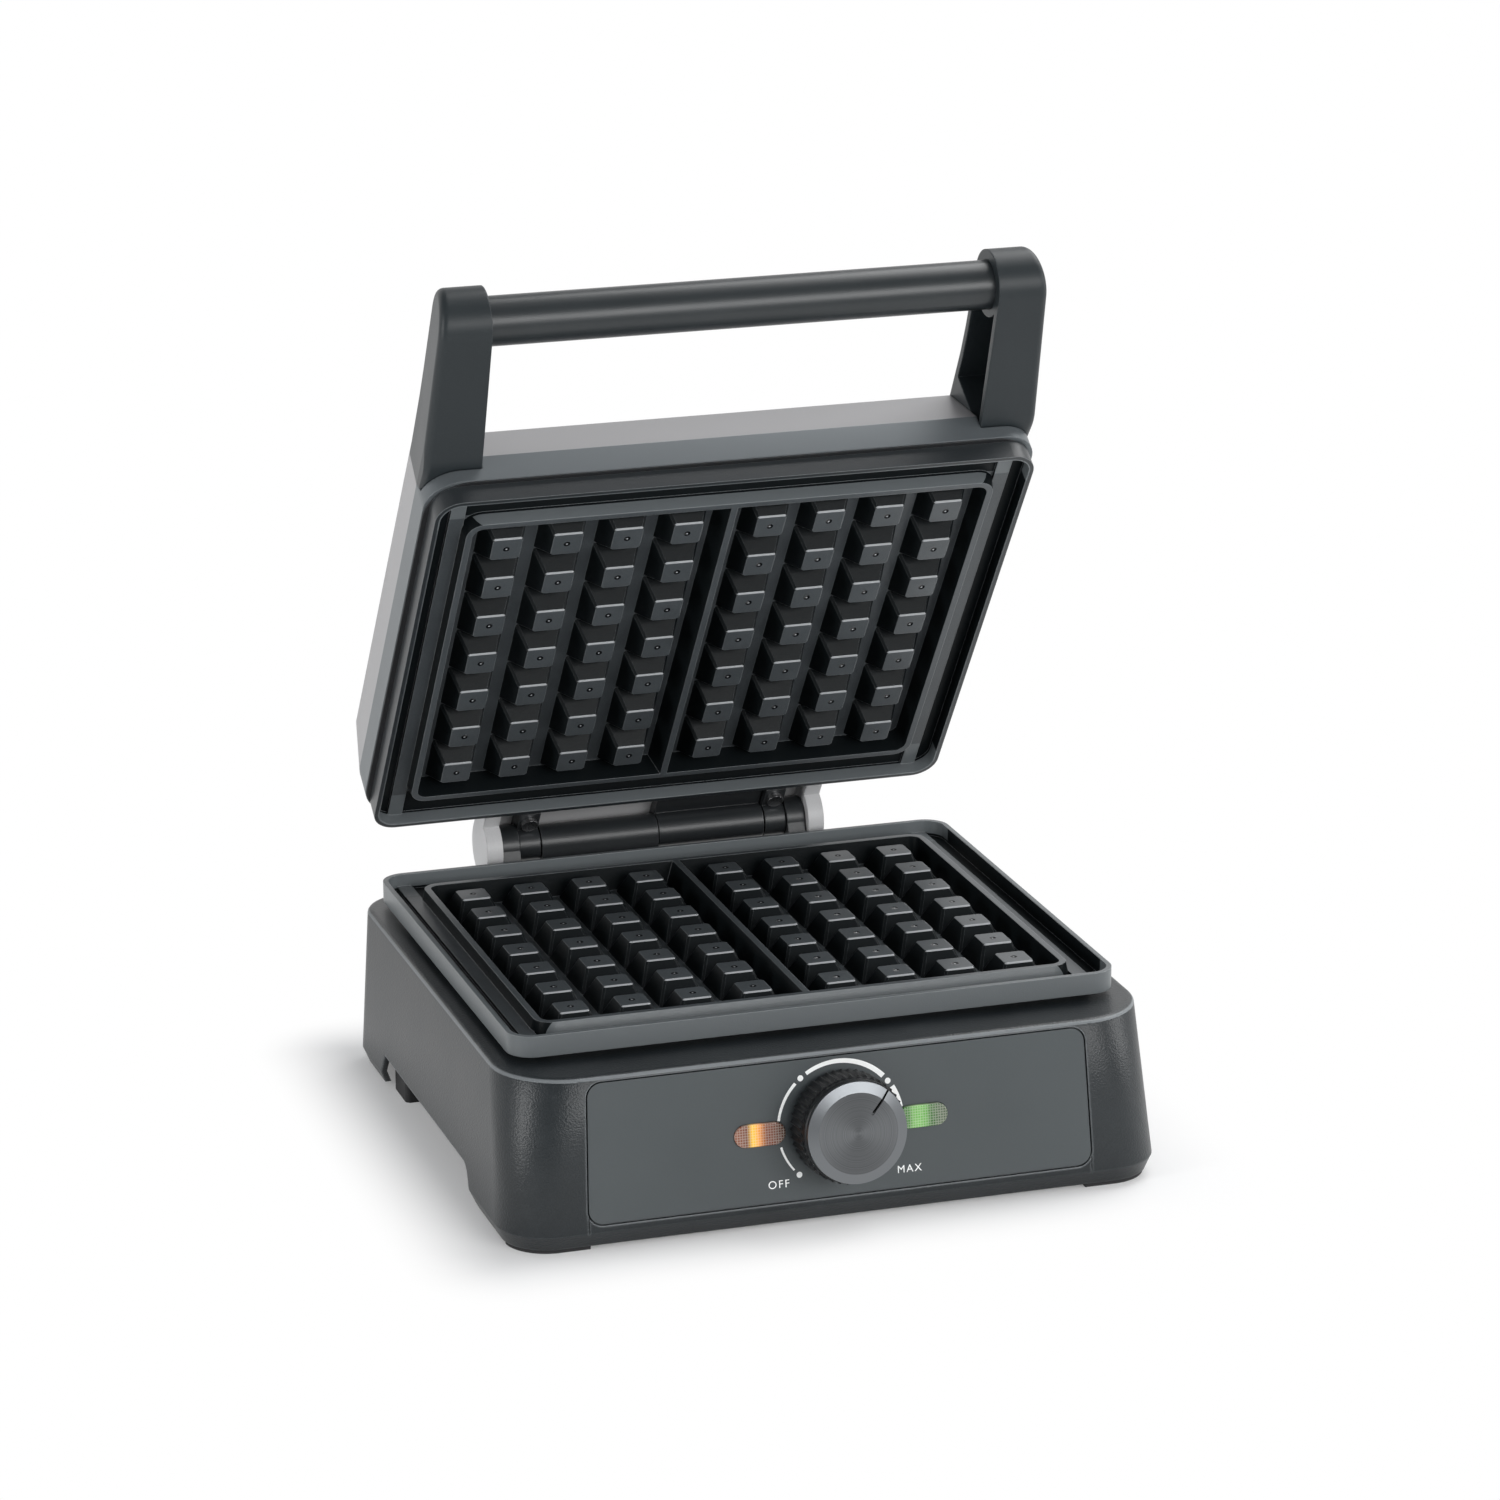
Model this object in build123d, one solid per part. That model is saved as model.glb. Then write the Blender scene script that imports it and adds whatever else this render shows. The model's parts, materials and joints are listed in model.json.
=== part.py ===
from build123d import *
import math
import os

# A two slice belgian waffle maker, standing with its lid held open.
# Millimetres. X runs to the right, Y to the back, Z up.
# Everything is first drawn with the lid shut: the plates meet at Z = 0 and the
# middle of the plates is X = Y = 0. At the end the lid is turned open about its
# hinge and the whole maker is lifted so that its feet stand at Z = 0.

TABLE_DROP = 77.0        # height of the meeting plane over the table
LID_OPEN = 54.19         # degrees the lid stands open in the photo
HINGE_Y = 121.0          # the hinge axis lies behind the plates
HINGE_Z = 0.0
TOUCH = 0.05             # gap where one piece seats on another
RUN_FIT = 0.06           # radial gap of a turning fit
HOLE_GAP = 0.2           # radial gap round a screw shank

# Baking plates
PLATE_HALF_X = 120.0
PLATE_HALF_Y = 101.0
PLATE_R = 10.0
PLATE_GAP = 0.3          # half the gap between the shut plates
RIM_DEPTH = 8.2
RIM_WALL = 2.0
GUTTER_Z = -6.6
RIDGE_TOP_Z = -1.0
LEDGE_Z = -5.2           # step beside the ridge, from the front rim to the rear rim
LEDGE_HALF_X = 112.5
RIDGE_FOOT_X = 107.6
RIDGE_FOOT_Y = 87.6
RIDGE_FOOT_R = 8.4
RIDGE_SLOPE = 1.6        # the ridge narrows by this much on its outer side
RIDGE_FLAT = 2.5
RIDGE_R = 8.0
CAVITY_Z = -10.5
CAVITY_DRAFT = 1.3       # the hollow widens by this much from floor to mouth
CAVITY_R = 3.0
BLOCK_HALF_X = 104.0
BLOCK_HALF_Y = 84.5
PLATE_UNDER_Z = -12.6
DIVIDER_TOP = 1.3        # half widths of the bar between the two waffles
DIVIDER_FOOT = 4.8

# Pegs that make the pockets of a waffle
PEG_COLUMNS = 4
PEG_ROWS = 7
PEG_FIRST_X = 16.72
PEG_PITCH_X = 24.0
PEG_PITCH_Y = 23.27
PEG_TOP = 11.6
PEG_BASE_X = 19.0
PEG_BASE_Y = 23.4
PEG_TOP_Z = -1.5
PEG_CORNER = 0.9
PEG_SINK = 0.4           # the foot of a peg reaches this far into the floor

# Bosses under the plates and their screws
BOSS_X = 94.0
BOSS_Y = 75.0
BOSS_R = 4.5
BOSS_END_Z = -25.15
SCREW_R = 1.7
SCREW_HEAD_R = 3.4
SCREW_HEAD_H = 2.0

# Tubular heating element under each plate
HEATER_R = 3.25
HEATER_HALF_X = 74.0
HEATER_HALF_Y = 58.0
HEATER_BEND_R = 16.0
HEATER_GAP_X = 18.0      # half the gap between the two ends
HEATER_PIN_R = 1.5
HEATER_PIN_LONG = 9.0
CLIP_WIDE = 10.0
CLIP_THICK = 1.0
CLIP_FOOT = 7.0
CLIP_X = 44.0

# Pan that shields the housing from the element
PAN_HALF_X = 108.5
PAN_HALF_Y = 87.2
PAN_FLANGE_X = 111.0
PAN_FLANGE_Y = 91.5
LID_PAN_FLANGE_X = 110.0
PAN_FLOOR_Z = -26.0
PAN_SHEET = 0.8
PAN_R = 8.0

# Small round fuse lying against the middle of a plate
FUSE_R = 2.4
FUSE_LONG = 14.0
FUSE_PIN_R = 0.6
FUSE_PIN_LONG = 7.0

# Base housing
DECK_Z = -10.8
DECK_HALF_X = 127.0
DECK_FRONT = -121.0
DECK_REAR = 108.0
DECK_R_FRONT = 28.0
DECK_R_REAR = 20.0
DECK_THICK = 2.5
DECK_ROUND = 2.0
SKIRT_Z = -69.5
SKIRT_HALF_X = 130.0
SKIRT_FRONT = -128.5
SKIRT_REAR = 110.0
SKIRT_R = 20.0
HEM_Z = -75.3
HEM_IN = 2.5
WALL = 2.5
FRONT_WALL = 5.0
OPENING_HALF_X = 107.0
OPENING_HALF_Y = 87.5
OPENING_R = 8.0

# Arches cut in both side walls
ARCH_TOP_Z = -61.0
ARCH_FRONT_Y = -62.0
ARCH_TOE_Y = -78.0
ARCH_REAR_Y = 57.6
ARCH_REAR_LOW_Y = 66.0

# Ring of heat proof plastic between deck and plate
SEAT_HALF_X = 113.0
SEAT_HALF_Y = 95.0
SEAT_IN_X = 105.4
SEAT_IN_Y = 86.0

# Posts, bottom cover and feet
POST_IN = 12.5           # post axis inside the side wall
POST_BEHIND_FRONT = 19.0
POST_BEFORE_REAR = 12.0
POST_X = (DECK_HALF_X + SKIRT_HALF_X) / 2 - POST_IN
POST_FRONT_Y = DECK_FRONT + POST_BEHIND_FRONT
POST_REAR_Y = DECK_REAR - POST_BEFORE_REAR
POST_R = 5.0
COVER_TOP_Z = -58.8
COVER_THICK = 2.0
COVER_GAP = 0.3
COVER_SCREW_UP = 10.0
COVER_SLOTS = 5
COVER_SLOT_LONG = 60.0
COVER_SLOT_WIDE = 4.0
COVER_SLOT_STEP = 12.0
FOOT_LIP_IN = 0.9
FOOT_FRONT_X0 = SKIRT_HALF_X - 32.0
FOOT_FRONT_X1 = SKIRT_HALF_X - HEM_IN - 1.1
FOOT_FRONT_REAR_Y = SKIRT_FRONT + 19.0
FOOT_STEM_X1 = SKIRT_HALF_X - 12.0
FOOT_STEM_FRONT_Y = SKIRT_FRONT + 9.5
FOOT_REAR_X0 = SKIRT_HALF_X - 22.0
FOOT_REAR_X1 = SKIRT_HALF_X - 5.5
FOOT_REAR_Y1 = ARCH_REAR_LOW_Y - 3.0
FOOT_REAR_Y0 = FOOT_REAR_Y1 - 19.0
FOOT_R = 2.0

# Front panel, measured along the leaning front face from the knob axis
KNOB_Z = -38.75
PANEL_UP = 25.4
PANEL_DOWN = 28.0
PANEL_HALF_TOP = 97.5
PANEL_HALF_LOW = 99.3
PANEL_R = 5.5
PANEL_THICK = 1.8
PANEL_SUNK = 0.2
PANEL_GROOVE = 0.6
PARTING_WIDE = 0.5
PARTING_DEEP = 0.5
LENS_X = 32.0
LENS_V = -1.25
LENS_LONG = 20.0
LENS_HIGH = 8.7
LENS_PROUD = 0.9
LENS_BACK = 7.0
LENS_FLANGE = 1.6
LENS_WALL = 1.4
LENS_GAP = 0.1
LAMP_R = 1.9
LAMP_LONG = 12.0
LAMP_IN = 1.5            # the lamp's axis lies this far inside the open back of its lens
LAMP_HOLDER = (3.0, 2.4)
BRACKET_BACK = 16.0      # depth of the control bracket behind the front face
BRACKET_THICK = 1.6
BRACKET_HALF_X = 48.0
BRACKET_HALF_V = 12.0
BRACKET_R = 3.0
BRACKET_POST_R = 4.0
BRACKET_POST_X = 50.0
BRACKET_EAR_V = 7.0
BRACKET_OVER = 8.0       # the strip runs this far past its half length
BRACKET_SCREW_IN = 8.0
CONTROL_R = 15.0
CONTROL_DEEP = 17.0
CONTROL_NECK_R = 5.0
CONTROL_NECK_LONG = 6.6
CONTROL_TAB = (0.8, 6.3, 7.5)
CONTROL_TAB_X = 8.0
CONTROL_BORE = 8.0       # the shaft's room inside the can
SHAFT_IN = 6.0           # how far the shaft reaches into the can
SHAFT_R = 3.0
SHAFT_FLAT = 1.0

# Knob
KNOB_R = 20.5
KNOB_FRONT_R = 19.9
KNOB_START = 0.8         # gap over the face
KNOB_DISC_AT = 17.2
KNOB_DISC_R = 19.4
KNOB_PROUD = 20.2
KNOB_WALL = 2.2
KNOB_WEB = 3.0
KNOB_HUB_R = 6.0
KNOB_RIBS = 44
KNOB_RIB_R = 0.75
KNOB_RIB_END = 13.6
KNOB_RIB_START = 2.0
KNOB_CORE_IN = 0.5       # the ribs stand on a core this much smaller than the knob
KNOB_EDGE = 0.5
KNOB_BEVEL = 1.2         # drop of the sloping ring round the disc
KNOB_FLAT_R = 15.5       # the flat turned middle of the disc
POINTER_TURN = 40.0      # degrees clockwise from straight up, as in the photo
POINTER_IN = 8.5
POINTER_OUT = 15.3
POINTER_WIDE = 1.0
POINTER_DEEP = 0.5

# Lid shell
LID_LIP_Z = 9.0
LID_BAND_Z = 20.6
LID_TOP_Z = 46.5
LID_HALF_X = 122.4
LID_HALF_Y = 103.0
LID_TOP_HALF_X = 118.2
LID_TOP_FRONT = -86.5
LID_TOP_REAR = 98.0
LID_R_FRONT = 14.0
LID_R_REAR = 18.0
LID_TOP_R_FRONT = 9.0
LID_TOP_R_REAR = 12.0
LID_WALL = 2.2
LID_TOP_ROUND = 2.5

# Black frame between shell and upper plate
FRAME_LOW_Z = 8.55
FRAME_TOP_Z = 12.0
FRAME_LIP = 0.25
FRAME_FIT = 0.25
FRAME_POST_X = 114.6
FRAME_POST_Y = 60.0
FRAME_POST_R = 3.6

# Hinge
PIN_R = 2.5
PIN_HALF = 64.5
EYE_R = 7.25
LUG_R = 8.5
LUG_X0 = 57.3
LUG_X1 = 64.8
KNUCKLE_X0 = 48.2
KNUCKLE_X1 = 56.9
BARREL_LEFT_X0 = -47.5
BARREL_LEFT_X1 = 2.0
BARREL_RIGHT_X0 = 2.5
BARREL_RIGHT_X1 = 47.5
KNUCKLE_FRONT_Y = 104.0
KNUCKLE_LOW_Z = 2.0
KNUCKLE_SCREW_Y = 109.3
LEAF_LOW_Z = 4.5
COVER_IN_R = 9.6         # the hinge cover curls round the knuckles
COVER_OUT_R = 12.0
COVER_END_X0 = 65.3
COVER_END_X1 = 72.0
COVER_END_LOW_Z = 1.5
COVER_FLANGE_Z = 19.5    # top of the thick flange that lies on the rear of the shell
COVER_FLANGE_Y = 107.0
COVER_ROOF_Y = 112.0     # where the flange's slope meets the roof
COVER_SCREW_X = [-60.0, -20.0, 20.0, 60.0]
COVER_SCREW_Z = 15.8
COVER_SCREW_LONG = 6.6
KNUCKLE_SCREW_BITE = 2.8
BRACKET_REAR_Y = 116.5
BRACKET_TOP_Z = -9.0
BRACKET_LOW_Z = -36.0
BRACKET_HALF_LONG = 64.8
BRACKET_SCREW_X = [-46.0, -16.0, 16.0, 46.0]
BRACKET_SCREW_Z = -24.0
BRACKET_SCREW_LONG = 14.0

# Handle
ARM_IN_X = 100.0
TUBE_R = 9.5
TUBE_WALL = 1.2
TUBE_Y = -153.0
TUBE_Z = 44.0
TUBE_HALF = 114.0
ARM_END_R = 13.6
ARM_ROOT_TOP = (-79.4, 46.5)
ARM_ROOT_TIP = (-92.0, 15.6)
ARM_UNDER_FRONT = (-103.0, 14.8)
ARM_TOP_FRONT = (-122.2, 50.9)
ARM_TOP_MID = (-110.0, 48.8)
ARM_TOP_BACK = (-86.5, 46.5)
ARM_WALL = 3.0
ARM_POCKET_X = 116.2
ARM_POCKET_BACK = -99.0
ARM_BOSS_R = 12.6
ARM_CORNER_R = 3.0
ARM_TIP_Z = 60.0         # anything above the arms
NOTCH_GAP = 0.15
TONGUE_X0 = 103.5
TONGUE_X1 = 115.5
TONGUE_REAR_Y = -66.0
TONGUE_LOW_Z = 30.0
TONGUE_HIGH_Z = 37.0
TONGUE_SCREW_X = 109.5
TONGUE_SCREW_Y = -72.0
TONGUE_POST_R = 4.2

# Terminal block and cord gland
TERMINAL_X = 30.0
TERMINAL_Y = 72.0
TERMINAL_SIZE = (46.0, 18.0, 13.0)
TERMINAL_WAYS = 3
TERMINAL_PITCH = 14.0
TERMINAL_BORE = 2.2
GLAND_X = SKIRT_HALF_X - 38.0
GLAND_Z = -45.0
GLAND_BORE_R = 3.7
GLAND_BODY_R = 6.5
GLAND_FLANGE_R = 9.0
GLAND_HEAD_LONG = 3.4
GLAND_NUT_LONG = 5.3
GLAND_SEAT = 0.4         # flange and nut stand off the leaning wall by this much at its middle
GLAND_ROUND = 1.2


# Shapes used by many pieces

def plan(half_x, front, rear, r_front, r_rear, z):
    """A rounded rectangle seen from above, its front and rear corners set apart."""
    corners = [(-half_x, front), (half_x, front), (half_x, rear), (-half_x, rear)]
    face = make_face(Polyline(*corners, close=True))
    face = fillet(face.vertices().sort_by(Axis.Y)[:2], r_front)
    face = fillet(face.vertices().sort_by(Axis.Y)[-2:], r_rear)
    return Pos(0, 0, z) * face


def slab(half_x, half_y, r, z0, z1):
    """A flat plate with rounded corners between two heights."""
    return extrude(plan(half_x, -half_y, half_y, r, r, z0), amount=z1 - z0, dir=(0, 0, 1))


def ring_slab(out_x, out_y, out_r, in_x, in_y, in_r, z0, z1):
    """A flat ring between two heights."""
    hole = slab(in_x, in_y, in_r, z0 - 1, z1 + 1)
    return slab(out_x, out_y, out_r, z0, z1) - hole


def drafted(half_x, half_y, r, z, height, narrower):
    """A block with rounded corners that narrows upwards, or widens where that is negative."""
    foot = plan(half_x, -half_y, half_y, r, r, z)
    return extrude(foot, amount=height, taper=math.degrees(math.atan2(narrower, height)))


def brick(x0, x1, y0, y1, z0, z1):
    """A box given by its limits."""
    middle = Pos((x0 + x1) / 2, (y0 + y1) / 2, (z0 + z1) / 2)
    return middle * Box(x1 - x0, y1 - y0, z1 - z0)


def side_prism(points, x0, x1):
    """A closed outline of (Y, Z) points drawn from the side and pushed along X."""
    wire = Polyline(*[(0, y, z) for y, z in points], close=True)
    face = Face(Wire(wire.edges()))
    return Pos(x0, 0, 0) * extrude(face, amount=x1 - x0, dir=(1, 0, 0))


def rod_x(r, x0, x1, y, z):
    """A round bar along X."""
    return Pos((x0 + x1) / 2, y, z) * Rot(0, 90, 0) * Cylinder(r, abs(x1 - x0))


def rod_y(r, y0, y1, x, z):
    """A round bar along Y."""
    return Pos(x, (y0 + y1) / 2, z) * Rot(90, 0, 0) * Cylinder(r, y1 - y0)


def rod_z(r, z0, z1, x, y):
    """A round bar along Z."""
    return Pos(x, y, (z0 + z1) / 2) * Cylinder(r, z1 - z0)


def flip(shape):
    """The same piece turned upside down for the lid."""
    return mirror(shape, about=Plane.XY)


def both_sides(shape):
    """The piece and its mirror image on the other side."""
    return [shape, mirror(shape, about=Plane.YZ)]


def corners(x, y):
    """Four places, one in each quarter."""
    return [(sx * x, sy * y) for sx in (-1, 1) for sy in (-1, 1)]


def pan_screw(length):
    """A pan head screw standing on its head: head below zero, shank upwards."""
    return rod_z(SCREW_HEAD_R, -SCREW_HEAD_H, 0, 0, 0) + rod_z(SCREW_R, -1, length, 0, 0)


# Baking plate and the pieces under it

def peg():
    """One peg: a square stump with cut corners, wider at its foot."""
    grow = (PEG_TOP_Z - CAVITY_Z + PEG_SINK) / (PEG_TOP_Z - CAVITY_Z)
    foot_x = PEG_TOP + (PEG_BASE_X - PEG_TOP) * grow
    foot_y = PEG_TOP + (PEG_BASE_Y - PEG_TOP) * grow

    def stump(size_x, size_y, z):
        face = Rectangle(size_x, size_y)
        return Pos(0, 0, z) * chamfer(face.vertices(), PEG_CORNER)

    foot = stump(foot_x, foot_y, CAVITY_Z - PEG_SINK)
    top = stump(PEG_TOP, PEG_TOP, PEG_TOP_Z)
    return loft([foot, top], ruled=True)


def baking_plate():
    """Cast plate: rim, gutter with its ledges, ridge, two pegged hollows and four bosses."""
    rim_low = -PLATE_GAP - RIM_DEPTH
    body = slab(PLATE_HALF_X, PLATE_HALF_Y, PLATE_R, rim_low, -PLATE_GAP)
    body += slab(BLOCK_HALF_X, BLOCK_HALF_Y, RIDGE_R, PLATE_UNDER_Z, rim_low)
    tray_x = PLATE_HALF_X - RIM_WALL
    tray_y = PLATE_HALF_Y - RIM_WALL
    body -= slab(tray_x, tray_y, PLATE_R - RIM_WALL, GUTTER_Z, 1)
    for ledge in both_sides(brick(RIDGE_FOOT_X - 1, LEDGE_HALF_X, -tray_y, tray_y, GUTTER_Z - 1, LEDGE_Z)):
        body += ledge
    ridge_high = RIDGE_TOP_Z - GUTTER_Z + 1
    body += drafted(RIDGE_FOOT_X, RIDGE_FOOT_Y, RIDGE_FOOT_R, GUTTER_Z - 1, ridge_high, RIDGE_SLOPE)
    mouth_x = RIDGE_FOOT_X - RIDGE_SLOPE - RIDGE_FLAT
    mouth_y = RIDGE_FOOT_Y - RIDGE_SLOPE - RIDGE_FLAT
    hollow = drafted(mouth_x - CAVITY_DRAFT, mouth_y - CAVITY_DRAFT, CAVITY_R, CAVITY_Z,
                     RIDGE_TOP_Z - CAVITY_Z, -CAVITY_DRAFT)
    bar = [
        (-DIVIDER_FOOT, CAVITY_Z - 1),
        (DIVIDER_FOOT, CAVITY_Z - 1),
        (DIVIDER_TOP, RIDGE_TOP_Z),
        (-DIVIDER_TOP, RIDGE_TOP_Z),
    ]
    divider = make_face(Polyline(*[(x, 0, z) for x, z in bar], close=True))
    divider = Pos(0, -mouth_y - 1, 0) * extrude(divider, amount=2 * mouth_y + 2, dir=(0, 1, 0))
    body -= hollow - divider
    one = peg()
    pegs = []
    for column in range(PEG_COLUMNS):
        for row in range(PEG_ROWS):
            x = PEG_FIRST_X + column * PEG_PITCH_X
            y = (row - (PEG_ROWS - 1) / 2) * PEG_PITCH_Y
            pegs += [Pos(x, y, 0) * one, Pos(-x, y, 0) * one]
    body = body.fuse(*pegs)
    for x, y in corners(BOSS_X, BOSS_Y):
        body += rod_z(BOSS_R, BOSS_END_Z, PLATE_UNDER_Z + 1, x, y)
    for x, y in corners(BOSS_X, BOSS_Y):
        body -= rod_z(SCREW_R + RUN_FIT, BOSS_END_Z - 1, PLATE_UNDER_Z - 1, x, y)
    return body


def heater():
    """A bent tube element with a thin pin at each end."""
    z = PLATE_UNDER_Z - TOUCH - HEATER_R
    points = [
        (-HEATER_GAP_X, HEATER_HALF_Y, z),
        (-HEATER_HALF_X, HEATER_HALF_Y, z),
        (-HEATER_HALF_X, -HEATER_HALF_Y, z),
        (HEATER_HALF_X, -HEATER_HALF_Y, z),
        (HEATER_HALF_X, HEATER_HALF_Y, z),
        (HEATER_GAP_X, HEATER_HALF_Y, z),
    ]
    path = FilletPolyline(*points, radius=HEATER_BEND_R)
    tube = sweep(Plane(path @ 0, z_dir=path % 0) * Circle(HEATER_R), path=path)
    pin_end = HEATER_GAP_X - HEATER_PIN_LONG
    for side in (-1, 1):
        tube += rod_x(HEATER_PIN_R, side * pin_end, side * (HEATER_GAP_X + 1), HEATER_HALF_Y, z)
    return tube


def heater_clips():
    """Four straps that hold the element up against the plate."""
    z = PLATE_UNDER_Z - TOUCH - HEATER_R
    in_r = HEATER_R + TOUCH
    out_r = in_r + CLIP_THICK
    top = PLATE_UNDER_Z - TOUCH
    straps = []
    for x, y in corners(CLIP_X, HEATER_HALF_Y):
        arch = rod_x(out_r, x - CLIP_WIDE / 2, x + CLIP_WIDE / 2, y, z)
        arch += brick(x - CLIP_WIDE / 2, x + CLIP_WIDE / 2, y - out_r, y + out_r, z, top)
        feet = brick(x - CLIP_WIDE / 2, x + CLIP_WIDE / 2, y - out_r - CLIP_FOOT,
                     y + out_r + CLIP_FOOT, top - CLIP_THICK, top)
        channel = rod_x(in_r, x - CLIP_WIDE, x + CLIP_WIDE, y, z)
        channel += brick(x - CLIP_WIDE, x + CLIP_WIDE, y - in_r, y + in_r, z, top + 1)
        channel += brick(x - CLIP_WIDE, x + CLIP_WIDE, y - 2 * out_r, y + 2 * out_r, top, top + 5)
        straps.append(arch + feet - channel)
    return straps


def reflector(flange_top, flange_x):
    """Pressed pan under the element; its flange lies against deck or lid frame."""
    pan = slab(flange_x, PAN_FLANGE_Y, PAN_R + 2, flange_top - PAN_SHEET, flange_top)
    pan += slab(PAN_HALF_X, PAN_HALF_Y, PAN_R, PAN_FLOOR_Z, flange_top)
    pan -= slab(PAN_HALF_X - PAN_SHEET, PAN_HALF_Y - PAN_SHEET, PAN_R - PAN_SHEET,
                PAN_FLOOR_Z + PAN_SHEET, flange_top + 1)
    for x, y in corners(BOSS_X, BOSS_Y):
        pan -= rod_z(SCREW_R + HOLE_GAP, PAN_FLOOR_Z - 1, PAN_FLOOR_Z + 2, x, y)
    return pan


def plate_screws():
    """Screws that pull plate and pan together."""
    length = BOSS_END_Z - PAN_FLOOR_Z + 8.0
    return [Pos(x, y, PAN_FLOOR_Z - TOUCH) * pan_screw(length) for x, y in corners(BOSS_X, BOSS_Y)]


def thermal_fuse():
    """Axial fuse held against the plate, with its two leads."""
    z = PLATE_UNDER_Z - TOUCH - FUSE_R
    fuse = rod_x(FUSE_R, -FUSE_LONG / 2, FUSE_LONG / 2, 0, z)
    reach = FUSE_LONG / 2 + FUSE_PIN_LONG
    return fuse + rod_x(FUSE_PIN_R, -reach, reach, 0, z)


# Base housing and what is fixed in it

def wall_line(z, inset, front_inset):
    """The outline of the housing wall at one height, moved inwards by an inset."""
    t = (DECK_Z - z) / (DECK_Z - SKIRT_Z)
    half_x = DECK_HALF_X + t * (SKIRT_HALF_X - DECK_HALF_X) - inset
    front = DECK_FRONT + t * (SKIRT_FRONT - DECK_FRONT) + front_inset
    rear = DECK_REAR + t * (SKIRT_REAR - DECK_REAR) - inset
    r_front = DECK_R_FRONT + t * (SKIRT_R - DECK_R_FRONT) - inset
    r_rear = DECK_R_REAR + t * (SKIRT_R - DECK_R_REAR) - inset
    return plan(half_x, front, rear, r_front, r_rear, z)


def hem_line(z, inset, front_inset):
    """The outline of the turned in hem, moved inwards by an inset."""
    half_x = SKIRT_HALF_X - HEM_IN - inset
    front = SKIRT_FRONT + HEM_IN + front_inset
    rear = SKIRT_REAR - HEM_IN - inset
    r = SKIRT_R - HEM_IN - inset
    return plan(half_x, front, rear, r, r, z)


def housing_block():
    """The outside of the housing as a solid block."""
    upper = loft([wall_line(SKIRT_Z, 0, 0), wall_line(DECK_Z, 0, 0)], ruled=True)
    upper = fillet(upper.faces().sort_by(Axis.Z)[-1].edges(), DECK_ROUND)
    lower = loft([hem_line(HEM_Z, 0, 0), wall_line(SKIRT_Z, 0, 0)], ruled=True)
    return upper + lower


def housing_hollow():
    """The space inside the housing."""
    deck_under = DECK_Z - DECK_THICK
    upper = loft([wall_line(SKIRT_Z, WALL, FRONT_WALL), wall_line(deck_under, WALL, FRONT_WALL)],
                 ruled=True)
    lower = loft([hem_line(HEM_Z, WALL, WALL), wall_line(SKIRT_Z, WALL, WALL)], ruled=True)
    below = extrude(hem_line(HEM_Z - 5, WALL, WALL), amount=5, dir=(0, 0, 1))
    return upper + lower + below


def arch_cut():
    """The tall arch that both side walls stand on."""
    low = HEM_Z - 6
    toe = (0, ARCH_TOE_Y, HEM_Z)
    crest = (0, ARCH_FRONT_Y, ARCH_TOP_Z)
    bend = Bezier(toe, (0, ARCH_TOE_Y + 8, HEM_Z), (0, ARCH_FRONT_Y - 9, ARCH_TOP_Z), crest)
    rear_top = (0, ARCH_REAR_Y, ARCH_TOP_Z)
    rear_low = (0, ARCH_REAR_LOW_Y, HEM_Z)
    sides = [
        bend,
        Line(crest, rear_top),
        Line(rear_top, rear_low),
        Line(rear_low, (0, ARCH_REAR_LOW_Y, low)),
        Line((0, ARCH_REAR_LOW_Y, low), (0, ARCH_TOE_Y, low)),
        Line((0, ARCH_TOE_Y, low), toe),
    ]
    face = Face(Wire([side.edge() for side in sides]))
    inside = SKIRT_HALF_X - WALL - HEM_IN - 3
    return Pos(inside, 0, 0) * extrude(face, amount=WALL + HEM_IN + 6, dir=(1, 0, 0))


FACE_LEAN = math.atan2(DECK_FRONT - SKIRT_FRONT, DECK_Z - SKIRT_Z)
FACE_Y = DECK_FRONT + (SKIRT_FRONT - DECK_FRONT) * (DECK_Z - KNOB_Z) / (DECK_Z - SKIRT_Z)
FACE_OUT = (0, -math.cos(FACE_LEAN), math.sin(FACE_LEAN))
FACE_PLANE = Plane(origin=(0, FACE_Y, KNOB_Z), x_dir=(1, 0, 0), z_dir=FACE_OUT)


def on_face(shape):
    """Move a piece drawn on a flat sheet onto the leaning front face."""
    return FACE_PLANE.location * shape


def panel_outline(grow):
    """The panel seen square on, made larger by a margin."""
    points = [
        (-PANEL_HALF_LOW - grow, -PANEL_DOWN - grow),
        (PANEL_HALF_LOW + grow, -PANEL_DOWN - grow),
        (PANEL_HALF_TOP + grow, PANEL_UP + grow),
        (-PANEL_HALF_TOP - grow, PANEL_UP + grow),
    ]
    face = make_face(Polyline(*points, close=True))
    return fillet(face.vertices(), PANEL_R + grow)


def face_prism(sketch, w0, w1):
    """Push a sketch on the front face from one depth to another."""
    return Pos(0, 0, w0) * extrude(sketch, amount=w1 - w0, dir=(0, 0, 1))


def pill(grow):
    """The outline of a lamp lens, made larger by a margin."""
    return SlotOverall(LENS_LONG + 2 * grow, LENS_HIGH + 2 * grow)


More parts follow.
